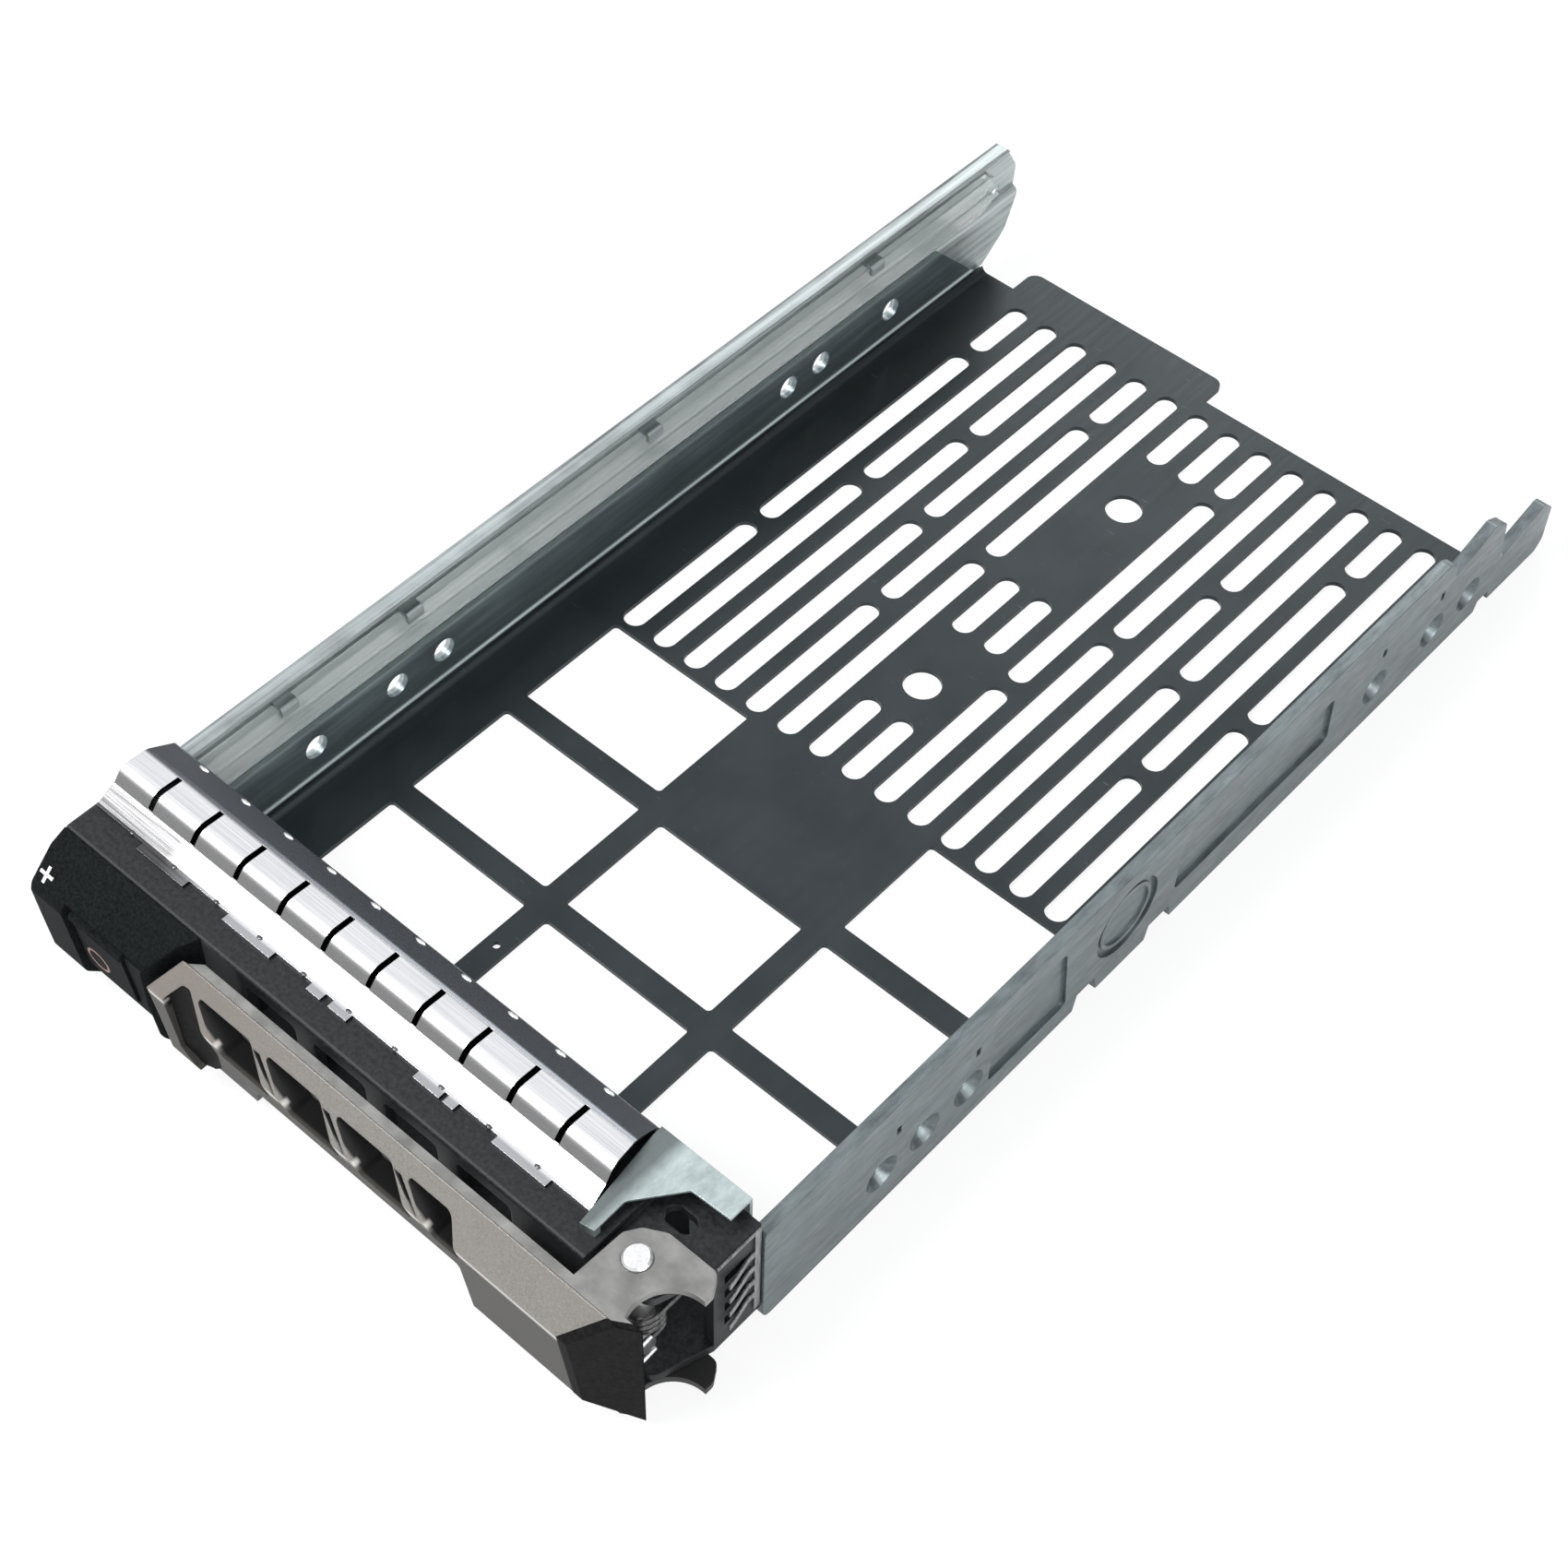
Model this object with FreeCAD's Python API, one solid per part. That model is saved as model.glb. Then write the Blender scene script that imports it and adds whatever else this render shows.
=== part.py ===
import FreeCAD, Part

import math
import os

V = FreeCAD.Vector

# Hot swap drive caddy.  Millimetres, +Z up, front of the caddy towards -Y.
# The origin lies on the top face of the tray floor, on the caddy's centre plane,
# in the middle of the solid seat plate under the drive.

# ---- fits ----
FIT = 0.3                  # gap left between separate parts
PIN_CLEARANCE = 0.05       # radial running clearance of the handle pin

# ---- drive and tray ----
DRIVE_WIDTH = 101.6
DRIVE_SIDE_GAP = 0.4
DRIVE_HOLE_PITCH = 101.6   # front to rear side screw of a drive
SHEET = 0.8
BEND = 1.2                 # inside bend radius of the tray
TONGUE_STEP = 0.2          # how far the tongue under the bezel is pressed below the floor
WALL_HEIGHT = 11.7
SCREW_HOLE_R = 2.0
LEFT_HOLE_Z = 7.3
LEFT_FRONT_HOLES = (-41.0, -25.2, -15.8)
LEFT_EXTRA_HOLE = 68.4

# ---- floor pattern ----
SLOT_PITCH = 6.3
SLOT_WIDTH = 3.8
SLOT_COLUMNS = 14
SLOT_FIRST_X = -39.7
SLOT_FRONT = 10.9
SLOT_FIELD = 96.6          # length of the slotted field
SLOT_BRIDGE = 2.4          # metal left between two slots of a column
REAR_MARGIN = 3.1
WINDOW_WIDTH = 27.4
WINDOW_LENGTH = 19.4
WINDOW_WEB_X = 3.9
WINDOW_WEB_Y = 3.9
WINDOW_SLOT_WEB = 1.2
WINDOW_LEFT = -41.0
WINDOW_CORNER = 0.7
FLOOR_HOLE_R = 3.0
FLOOR_HOLE_X = 1.2
FLOOR_HOLES_Y = (32.1, 81.9)
PIP_HOLE_R = 0.6
TAB_REACH = 5.7
TAB_LEFT = -44.4
TAB_WIDTH = 40.3
TAB_CORNER = 2.0

# ---- rails ----
SIDE_STEP = 1.1            # outward jog of the left rail above the tray wall
LEFT_RAIL_TOP = 23.9
LEFT_FLANGE = 3.0
LEFT_RAIL_REAR = 120.0
RIGHT_RAIL_THICK = 1.9
RIGHT_RAIL_TOP = 20.2
RIGHT_RAIL_REAR = 121.0
RECESS_DEPTH = 0.6
DIMPLE_R = 3.0
DIMPLE_HOLE_R = 2.0
DIMPLE_Z = 6.6
RIGHT_FRONT_DIMPLES = (-39.6, -31.0, -22.0)
RIGHT_REAR_DIMPLES = (72.4, 87.6, 97.6)

# ---- light pipes ----
PIPE_THICK = 1.5
PIPE_HEIGHT = 3.1
PIPE_REAR = 112.0
CLIP_LENGTH = 3.0
CLIP_PLACES = (-46.0, -22.0, 28.0, 80.0)

# ---- bezel ----
BEZEL_REAR = -62.2
BEZEL_FRONT = -80.6
BEZEL_TOP = 24.0
BEZEL_WALL = 1.6
HOUSING_WIDTH = 12.6       # pivot housing, right of the full height part
SCREW_PLACES = (-44.0, -16.0, 12.0, 36.0)
FIXING_R = 1.2
FIXING_HEAD_R = 2.2
NOSE_FRONT = -88.0
NOSE_LEAN = 1.1            # how far the cap's front face leans back towards its chin
CHIN_Z = 3.6
CHIN_REACH = 5.0           # setback of the cap's chamfered lower edge
CAP_WIDTH = 26.9

# ---- button and latch ----
BUTTON_INSET = 7.1         # from the cap's left end
BUTTON_WIDTH = 10.0
BUTTON_LOW = 6.0
BUTTON_HIGH = 16.8
BUTTON_TRAVEL = 2.2
POCKET_DEPTH = 1.2
CAP_SKIN = 1.4             # wall behind the pocket
LATCH_Z0 = 9.4
LATCH_Z1 = 13.4
SLIDER_THICK = 3.2
STEM_WIDTH = 4.0
HOUSING_END = 0.8          # end wall of the latch's channel
FLANGE_THICK = 1.0
LEAF_THICK = 0.25

# ---- handle ----
HANDLE_TOP = 24.6
HANDLE_LOW = 1.0
ARCH_Z = 14.2              # underside of the grip's middle
GRIP_CHIN_Z = 4.2          # front end of the grip's slanted underside
NOSE_Z = 18.2
SPINE_FRONT = -84.2
SPINE_THICK = 1.4
VENTS = 4
EAR_THICK = 1.2
END_CAP = 1.6              # dark plate on the grip's right end
PIN_R = 1.95
PIN_INSET = 7.9            # from the housing's right face
PIN_Y = -76.2
JAW_R = 5.6
SPRING_WIRE = 0.45
SPRING_PITCH = 1.3
SPRING_TURNS = 3
SPRING_Z = 10.0
SPRING_LEG = 6.2

# ---- shielding springs ----
SPRING_SHEET = 0.4
CLIP_SHEET = 0.3
SHIELD_FINGERS = 11
FINGER_GAP = 0.9
FIRST_GAP_INSET = 7.6      # from the strip's side of the caddy
STRIP_INSET = 17.9         # from the strip's end to the right face
DOME_R = 2.0               # inside bend of the raised fingers

# ---- derived ----
WALL_IN = DRIVE_WIDTH / 2 + DRIVE_SIDE_GAP
WALL_OUT = WALL_IN + SHEET
HALF_WIDTH = WALL_OUT + SIDE_STEP + SHEET
RIGHT_OUT = WALL_OUT + RIGHT_RAIL_THICK
FLOOR_REAR = SLOT_FRONT + SLOT_FIELD + REAR_MARGIN
TAB_REAR = FLOOR_REAR + TAB_REACH
WINDOW_REAR = SLOT_FRONT - WINDOW_SLOT_WEB
GROUND = -SHEET
LEDGE_Z = WALL_HEIGHT + SHEET / 2 + 0.1
PIPE_LOW_Z = LEDGE_Z + 0.5
PIPE_GAP = 0.5
PIPE_HIGH_Z = PIPE_LOW_Z + PIPE_HEIGHT + PIPE_GAP
PIPE_OUT = -(WALL_OUT + SIDE_STEP) + 0.1
PIPE_IN = PIPE_OUT + PIPE_THICK
BEZEL_RIGHT = RIGHT_OUT - HOUSING_WIDTH
CAP_RIGHT = -HALF_WIDTH + CAP_WIDTH
BUTTON_LEFT = -HALF_WIDTH + BUTTON_INSET
BUTTON_RIGHT = BUTTON_LEFT + BUTTON_WIDTH
SLIDER_FRONT = BEZEL_FRONT + BEZEL_WALL + FIT
SLIDER_REAR = SLIDER_FRONT + SLIDER_THICK
STEM_LEFT = BUTTON_LEFT + 1.6
STEM_RIGHT = STEM_LEFT + STEM_WIDTH
STEM_REAR = SLIDER_REAR - BUTTON_TRAVEL
HEAD_LEFT = CAP_RIGHT + 0.8
ARM_LEFT = HEAD_LEFT + 3.2
ARM_RIGHT = ARM_LEFT + 1.6
SLIDER_LEFT = STEM_LEFT - BUTTON_TRAVEL
HOUSING_LEFT = PIPE_IN + FIT
PIN_X = RIGHT_OUT - PIN_INSET
ARCH_LEFT = CAP_RIGHT + 13.5
ARCH_RIGHT = RIGHT_OUT - 27.1
VENT_PITCH = (ARCH_RIGHT - ARCH_LEFT + 11.1) / VENTS
STRIP_RIGHT = RIGHT_OUT - STRIP_INSET
FIRST_GAP_X = -HALF_WIDTH + FIRST_GAP_INSET
FINGER_PITCH = (STRIP_RIGHT + 1.1 - FIRST_GAP_X) / (SHIELD_FINGERS - 1)
HANDLE_REAR = SPINE_FRONT + SPINE_THICK
EAR_TOP = BEZEL_TOP
PLATE_TOP = EAR_TOP - EAR_THICK - FIT
LOW_EAR = GROUND + 0.9
PLATE_LOW = LOW_EAR + EAR_THICK + FIT


def place(plane, a):
    """Return a function that lifts a flat point (u, v) into space at distance a."""
    if plane == "xy":
        return lambda p: V(p.x, p.y, a)
    if plane == "yz":
        return lambda p: V(a, p.x, p.y)
    return lambda p: V(p.x, a, p.y)


def prism(points, plane, a, b, radii=0.0):
    """Extrude a closed outline with rounded corners from distance a to b."""
    lift = place(plane, a)
    flat = [V(u, v, 0) for u, v in points]
    count = len(flat)
    if not isinstance(radii, (list, tuple)):
        radii = [radii] * count
    corners = []
    for i, point in enumerate(flat):
        back = (flat[i - 1] - point).normalize()
        ahead = (flat[(i + 1) % count] - point).normalize()
        radius = radii[i]
        if radius <= 0:
            corners.append((point, None, point))
            continue
        half = back.getAngle(ahead) / 2
        cut = radius / math.tan(half)
        middle = (back + ahead).normalize()
        centre = point + middle * (radius / math.sin(half))
        corners.append((point + back * cut, centre - middle * radius, point + ahead * cut))
    edges = []
    for i, (start, middle, end) in enumerate(corners):
        if middle is not None:
            edges.append(Part.Arc(lift(start), lift(middle), lift(end)).toShape())
        following = corners[(i + 1) % count][0]
        if (following - end).Length > 1e-6:
            edges.append(Part.makeLine(lift(end), lift(following)))
    face = Part.Face(Part.Wire(edges))
    step = {"xy": V(0, 0, b - a), "yz": V(b - a, 0, 0), "xz": V(0, b - a, 0)}[plane]
    return face.extrude(step)


def block(x0, x1, y0, y1, z0, z1):
    return Part.makeBox(x1 - x0, y1 - y0, z1 - z0, V(x0, y0, z0))


def rod(radius, base, length, axis):
    return Part.makeCylinder(radius, length, V(*base), V(*axis))


def slot(x, y0, y1, width, z0, z1):
    """A round-ended slot that runs along Y."""
    r = width / 2
    outline = [(x - r, y0), (x + r, y0), (x + r, y1), (x - r, y1)]
    return prism(outline, "xy", z0, z1, r)


def turned(normal_a, normal_b, distance):
    total = normal_a + normal_b
    return total * (distance / (1 + normal_a.dot(normal_b)))


def ribbon(path, thickness, bend=0.0):
    """Outline and corner radii of a folded strip, thickened to the left of its path."""
    flat = [V(u, v, 0) for u, v in path]
    bends = bend if isinstance(bend, list) else [bend] * len(flat)
    normals = []
    for a, b in zip(flat, flat[1:]):
        run = (b - a).normalize()
        normals.append(V(-run.y, run.x, 0))
    near = []
    far = []
    near_r = []
    far_r = []
    last = len(flat) - 1
    for i, point in enumerate(flat):
        before = normals[max(i - 1, 0)]
        after = normals[min(i, last - 1)]
        near.append((point.x, point.y))
        other = point + turned(before, after, thickness)
        far.append((other.x, other.y))
        ended = i in (0, last)
        left_turn = before.x * after.y - before.y * after.x > 0
        outer, inner = bends[i] + thickness, bends[i]
        near_r.append(0 if ended else (outer if left_turn else inner))
        far_r.append(0 if ended else (inner if left_turn else outer))
    return near + far[::-1], near_r + far_r[::-1]


def inset(points, distance):
    """Move every side of an anticlockwise outline inward by a distance."""
    flat = [V(u, v, 0) for u, v in points]
    result = []
    for i, point in enumerate(flat):
        before = (point - flat[i - 1]).normalize()
        after = (flat[(i + 1) % len(flat)] - point).normalize()
        moved = point + turned(V(-before.y, before.x, 0), V(-after.y, after.x, 0), distance)
        result.append((moved.x, moved.y))
    return result


def fuse(first, *others):
    return first.fuse(list(others)).removeSplitter()


def cut(body, *tools):
    return body.cut(list(tools))


# ---------------------------------------------------------------- tray

def column_slots(index):
    """Start and end of each slot in one column of the floor pattern."""
    y0 = SLOT_FRONT
    y1 = SLOT_FRONT + SLOT_FIELD
    third = SLOT_FIELD * 0.309
    half = SLOT_FIELD * 0.494
    rear = SLOT_FIELD * 0.148
    gap = SLOT_BRIDGE / 2
    if index in (0, 4, 8, 12):
        return [(y0, y0 + third - gap), (y0 + third + gap, y1 - rear - gap), (y1 - rear + gap, y1)]
    if index in (2, 10):
        return [(y0, y1 - third - gap), (y1 - third + gap, y1)]
    if index in (6, 7):
        middle = y0 + SLOT_FIELD * 0.416
        return [(y0, y0 + rear), (middle - rear / 2, middle + rear / 2), (y1 - rear, y1)]
    return [(y0, y0 + half - gap), (y0 + half + gap, y1)]


def left_holes():
    front = list(LEFT_FRONT_HOLES)
    rear = [front[0] + DRIVE_HOLE_PITCH, front[2] + DRIVE_HOLE_PITCH, LEFT_EXTRA_HOLE]
    return front + rear


def folded_tray():
    """The whole tray, folded from one sheet."""
    path = [(-WALL_OUT, WALL_HEIGHT), (-WALL_OUT, GROUND), (WALL_OUT, GROUND), (WALL_OUT, WALL_HEIGHT)]
    outline, radii = ribbon(path, SHEET, BEND)
    channel = prism(outline, "xz", BEZEL_REAR, FLOOR_REAR, radii)
    tab_outline = [(TAB_LEFT, FLOOR_REAR - 4), (TAB_LEFT + TAB_WIDTH, FLOOR_REAR - 4),
                   (TAB_LEFT + TAB_WIDTH, TAB_REAR), (TAB_LEFT, TAB_REAR)]
    tab = prism(tab_outline, "xy", GROUND, 0, [0, 0, TAB_CORNER, TAB_CORNER])
    tongue = block(-WALL_IN, BEZEL_RIGHT - 2, BEZEL_FRONT + 4, BEZEL_REAR + 1, GROUND, -TONGUE_STEP)
    tray = fuse(channel, tab, tongue)
    tools = []
    z0, z1 = GROUND - 1, 1
    for index in range(SLOT_COLUMNS):
        x = SLOT_FIRST_X + index * SLOT_PITCH
        tools += [slot(x, a, b, SLOT_WIDTH, z0, z1) for a, b in column_slots(index)]
    for row in range(3):
        for column in range(3):
            if (row, column) == (0, 1):
                continue
            x = WINDOW_LEFT + column * (WINDOW_WIDTH + WINDOW_WEB_X)
            y = WINDOW_REAR - row * (WINDOW_LENGTH + WINDOW_WEB_Y)
            outline = [(x, y - WINDOW_LENGTH), (x + WINDOW_WIDTH, y - WINDOW_LENGTH),
                       (x + WINDOW_WIDTH, y), (x, y)]
            tools.append(prism(outline, "xy", z0, z1, WINDOW_CORNER))
    tools += [rod(FLOOR_HOLE_R, (FLOOR_HOLE_X, y, z0), 3, (0, 0, 1)) for y in FLOOR_HOLES_Y]
    pip_x = WINDOW_LEFT + WINDOW_WIDTH + WINDOW_WEB_X / 2
    pip_y = WINDOW_REAR - 3 * WINDOW_LENGTH - 1.5 * WINDOW_WEB_Y + WINDOW_LENGTH / 2
    tools.append(rod(PIP_HOLE_R, (pip_x, pip_y, z0), 3, (0, 0, 1)))
    for y in left_holes():
        tools.append(rod(SCREW_HOLE_R, (-WALL_OUT - 1, y, LEFT_HOLE_Z), 3, (1, 0, 0)))
    for y in RIGHT_FRONT_DIMPLES + RIGHT_REAR_DIMPLES:
        tools.append(rod(SCREW_HOLE_R, (WALL_IN - 1, y, DIMPLE_Z), 3, (1, 0, 0)))
    slope = [(FLOOR_REAR + 1, 0.4), (FLOOR_REAR + 1, WALL_HEIGHT + 5),
             (FLOOR_REAR - 14.5, WALL_HEIGHT + 5), (FLOOR_REAR - 12.5, WALL_HEIGHT), (FLOOR_REAR - 1.5, 0.6)]
    tools.append(prism(slope, "yz", -WALL_OUT - 1, -WALL_IN + 0.001))
    tools.append(prism(slope, "yz", WALL_IN - 0.001, WALL_OUT + 1))
    for x in SCREW_PLACES:
        tools.append(screw_shape(x))
    return cut(tray, *tools)


def make_tray():
    """Floor of the tray, up to where its two walls start to bend."""
    reach = WALL_IN - BEND
    return folded_tray().common(block(-reach, reach, BEZEL_FRONT, TAB_REAR + 1, GROUND - 1, 1))


def make_tray_wall(side):
    """Wall of the tray with its bend; side is -1 on the left and 1 on the right."""
    near, far = sorted((side * (WALL_IN - BEND), side * (WALL_OUT + 1)))
    return folded_tray().common(block(near, far, BEZEL_FRONT, TAB_REAR + 1, GROUND - 1, WALL_HEIGHT + 1))


def screw_row_y():
    return (BEZEL_FRONT + 4 + BEZEL_REAR) / 2


def screw_shape(x):
    """Flat-head screw, head flush with the underside of the tray."""
    y = screw_row_y()
    head = Part.makeCone(FIXING_HEAD_R, FIXING_R, SHEET, V(x, y, GROUND), V(0, 0, 1))
    shank = rod(FIXING_R, (x, y, 0), 4.0, (0, 0, 1))
    return head.fuse(shank).removeSplitter()


def make_bezel_screws():
    return Part.makeCompound([screw_shape(x) for x in SCREW_PLACES])


# ---------------------------------------------------------------- rails

def make_left_rail():
    inner = -WALL_OUT
    web = -(WALL_OUT + SIDE_STEP)
    top = LEFT_RAIL_TOP - SHEET
    path = [(inner, GROUND + 1.2), (inner, LEDGE_Z), (web, LEDGE_Z), (web, top),
            (-HALF_WIDTH + LEFT_FLANGE, top)]
    outline, radii = ribbon(path, SHEET, 0.3)
    rail = prism(outline, "xz", BEZEL_REAR, LEFT_RAIL_REAR, radii)
    rear = LEFT_RAIL_REAR
    keep = [(BEZEL_REAR - 1, GROUND), (rear - 10, GROUND), (rear - 3, 4.9), (rear - 0.5, 11.0),
            (rear, 16.2), (rear - 2.4, 20.2), (rear - 6.8, LEFT_RAIL_TOP + 1),
            (BEZEL_REAR - 1, LEFT_RAIL_TOP + 1)]
    rail = rail.common(prism(keep, "yz", -HALF_WIDTH - 1, -WALL_IN + 5, [0, 3, 2, 2, 2, 2, 2, 0]))
    tabs = []
    tab_z = PIPE_HIGH_Z + PIPE_HEIGHT + 0.1
    for y in CLIP_PLACES:
        arm = [(web - 0.1, tab_z), (PIPE_IN + 0.1, tab_z), (PIPE_IN + 0.1, tab_z - 1.2)]
        arm_outline, arm_radii = ribbon(arm, 0.6, 0.1)
        tabs.append(prism(arm_outline, "xz", y, y + CLIP_LENGTH, arm_radii))
    rail = fuse(rail, *tabs)
    tools = []
    for y in left_holes():
        tools.append(rod(SCREW_HOLE_R, (-HALF_WIDTH - 1, y, LEFT_HOLE_Z), 4, (1, 0, 0)))
    x0, x1 = -HALF_WIDTH - 1, web + 0.2
    tools.append(block(x0, x1, rear - 10, rear - 5.4, 20.0, 20.9))
    notch = [(rear - 6, 11.8), (rear - 4, 12.4), (rear - 4.4, 14.6), (rear - 6, 14)]
    tools.append(prism(notch, "yz", x0, x1))
    tools.append(block(x0, x1, rear - 10, rear - 4.4, 6.6, 7.5))
    return cut(rail, *tools)


def rounded_recess(y0, y1, z0, z1, lean=0.0):
    outline = [(y0, z0), (y1, z0), (y1 - lean, z1), (y0, z1)]
    return prism(outline, "yz", RIGHT_OUT - RECESS_DEPTH, RIGHT_OUT + 1, 0.8)


def dimple(y, z=DIMPLE_Z):
    """Screw hole with a wide countersink on the outer face."""
    deep = RIGHT_RAIL_THICK - 0.5
    sink = Part.makeCone(DIMPLE_R, DIMPLE_HOLE_R, deep, V(RIGHT_OUT, y, z), V(-1, 0, 0))
    hole = rod(DIMPLE_HOLE_R, (WALL_OUT - 1, y, z), RIGHT_RAIL_THICK + 2, (1, 0, 0))
    return sink.fuse(hole)


def make_right_rail():
    top = RIGHT_RAIL_TOP
    rear = RIGHT_RAIL_REAR
    outline = [(BEZEL_REAR, GROUND), (rear - 1.5, GROUND), (rear, 1.0), (rear - 0.3, 8.2), (rear - 3, 10.8),
               (rear - 14, 8.0), (rear - 15.2, 8.2), (rear - 16.6, 17.0), (rear - 20, 18.8),
               (rear - 30.2, 15.8), (rear - 30.6, 18.6), (rear - 33.0, top), (BEZEL_REAR, top)]
    radii = [1.5, 1.0, 1.0, 1.2, 1.5, 0.3, 0.3, 1.6, 1.2, 0.2, 1.2, 1.2, 0.5]
    rail = prism(outline, "yz", WALL_OUT, RIGHT_OUT, radii)
    tools = [rounded_recess(-17.6, -0.9, 3.2, 16.7, 1.6), rounded_recess(23.3, 60.5, 5.3, 14.8, 0.8)]
    tools.append(rod(6.7, (RIGHT_OUT - RECESS_DEPTH, 11.6, 10.7), 2, (1, 0, 0)))
    for y in RIGHT_FRONT_DIMPLES + RIGHT_REAR_DIMPLES:
        tools.append(dimple(y))
    for y in (RIGHT_FRONT_DIMPLES[0] + 2.5, RIGHT_FRONT_DIMPLES[2] + 0.8, *RIGHT_REAR_DIMPLES[:2]):
        tools.append(block(RIGHT_OUT - RECESS_DEPTH, RIGHT_OUT + 1, y, y + 0.9, 13.0, 14.6))
    rear_notch = (rear - 19.5, rear - 15.0, 1.2)
    for y0, y1, z1 in ((1.0, 6.6, 2.4), (17.3, 23.6, 2.0), rear_notch):
        tools.append(prism([(y0, GROUND - 1), (y1, GROUND - 1), (y1 - 0.8, z1), (y0 + 0.8, z1)],
                           "yz", WALL_OUT + 0.5, RIGHT_OUT + 1))
    rail = cut(rail, *tools)
    ring = rod(5.6, (RIGHT_OUT - RECESS_DEPTH, 11.6, 10.7), 0.35, (1, 0, 0))
    ring = ring.cut(rod(4.9, (RIGHT_OUT - RECESS_DEPTH, 11.6, 10.7), 0.35, (1, 0, 0)))
    return fuse(rail, ring)


# ---------------------------------------------------------------- light pipes

def pipe_front_y(low):
    return cap_front_y(low + PIPE_HEIGHT / 2) + POCKET_DEPTH + CAP_SKIN


def make_light_pipe(low):
    """Clear strip that carries light from the rear edge to the back of the cap's front face."""
    front = pipe_front_y(low)
    outline = [(front, low), (PIPE_REAR - 3, low), (PIPE_REAR, low + 1.5),
               (PIPE_REAR, low + PIPE_HEIGHT), (front, low + PIPE_HEIGHT)]
    return prism(outline, "yz", PIPE_OUT, PIPE_IN, [0.3, 3.0, 0.6, 0.4, 0.3])


# ---------------------------------------------------------------- bezel

def cap_profile():
    """Side profile of the front end cap, anticlockwise in (y, z)."""
    return [(NOSE_FRONT + CHIN_REACH, GROUND), (BEZEL_FRONT, GROUND), (BEZEL_FRONT, BEZEL_TOP),
            (NOSE_FRONT + 4.8, BEZEL_TOP - 1.1), (NOSE_FRONT + 0.5, NOSE_Z + 0.5), (NOSE_FRONT, NOSE_Z - 0.5),
            (NOSE_FRONT + NOSE_LEAN, CHIN_Z)]


def cap_front_y(z):
    """Front face of the cap at height z, below the nose."""
    slope = NOSE_LEAN / (NOSE_Z - 0.5 - CHIN_Z)
    return NOSE_FRONT + (NOSE_Z - 0.5 - z) * slope


def cap_plan():
    """Plan outline of the cap, with a bevelled right end beside the handle."""
    left = -HALF_WIDTH
    return [(left, NOSE_FRONT - 1), (CAP_RIGHT - 6.1, NOSE_FRONT - 1), (CAP_RIGHT, BEZEL_FRONT),
            (left, BEZEL_FRONT)]


def make_bezel_cap():
    x0 = -HALF_WIDTH
    profile = cap_profile()
    body = prism(profile, "yz", x0, CAP_RIGHT, [0, 0, 0, 1.5, 0.8, 0.8, 2.0])
    body = body.common(prism(cap_plan(), "xy", GROUND - 1, BEZEL_TOP + 1, [2.0, 0, 0, 0]))
    skin = POCKET_DEPTH + CAP_SKIN
    inner = [(NOSE_FRONT + CHIN_REACH + 1.2, GROUND + skin), (BEZEL_FRONT + 1, GROUND + skin),
             (BEZEL_FRONT + 1, BEZEL_TOP - skin), (NOSE_FRONT + skin + 3.6, BEZEL_TOP - skin - 0.7),
             (NOSE_FRONT + skin, NOSE_Z - 1.0), (NOSE_FRONT + NOSE_LEAN + skin - 0.1, CHIN_Z + 1.1)]
    hollow = prism(inner, "yz", x0 + BEZEL_WALL, CAP_RIGHT)
    room = inset(cap_plan(), BEZEL_WALL)[:2]
    room += [(CAP_RIGHT - 2.0, BEZEL_FRONT + 1), (x0 + BEZEL_WALL, BEZEL_FRONT + 1)]
    hollow = hollow.common(prism(room, "xy", GROUND, BEZEL_TOP))
    shell = prism(profile, "yz", BUTTON_LEFT - 0.7, CAP_RIGHT - 5)
    shell = shell.cut(prism(inset(profile, POCKET_DEPTH), "yz", BUTTON_LEFT - 1, CAP_RIGHT))
    pocket = shell.common(block(x0, CAP_RIGHT, NOSE_FRONT - 1, BEZEL_FRONT - 3, GROUND - 1, NOSE_Z + 0.9))
    rib = prism([(NOSE_FRONT + 0.2, NOSE_Z - 0.6), (NOSE_FRONT + 2.0, NOSE_Z - 0.6),
                 (NOSE_FRONT + 2.0, NOSE_Z + 0.6), (NOSE_FRONT + 0.5, NOSE_Z + 0.3)],
                "yz", BUTTON_LEFT + 0.5, CAP_RIGHT - 9)
    window = block(BUTTON_LEFT - FIT, BUTTON_RIGHT + FIT, NOSE_FRONT - 1, BEZEL_FRONT - 2, BUTTON_LOW - FIT,
                   BUTTON_HIGH + FIT)
    cap = cut(body, hollow, pocket)
    cap = cut(fuse(cap, rib), window)
    pipes = [block(PIPE_OUT - 0.1, PIPE_IN + 0.1, pipe_front_y(z) - 0.1, BEZEL_FRONT + 1,
                   z - 0.1, z + PIPE_HEIGHT + 0.1) for z in (PIPE_LOW_Z, PIPE_HIGH_Z)]
    return cut(cap, *pipes)


def pivot_plate(z0, z1):
    """Plate of the pivot housing with a rounded lug round the pin."""
    lug = 4.4
    corner = (RIGHT_OUT - 0.7, PIN_Y + 5.6)
    outline = [(BEZEL_RIGHT - BEZEL_WALL, BEZEL_REAR), (BEZEL_RIGHT - BEZEL_WALL, BEZEL_FRONT + 2.5),
               (PIN_X - 3.0, BEZEL_FRONT + 2.5), (PIN_X + lug, PIN_Y - lug + 1.2), corner,
               (RIGHT_OUT - 0.7, BEZEL_REAR)]
    return prism(outline[::-1], "xy", z0, z1, [0, 1.0, 2.2, 1.5, 0, 0])


def cheek_slots():
    """Heights of the cheek's slots, one behind each side finger."""
    return [6.3 + index * 3.4 for index in range(4)]


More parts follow.
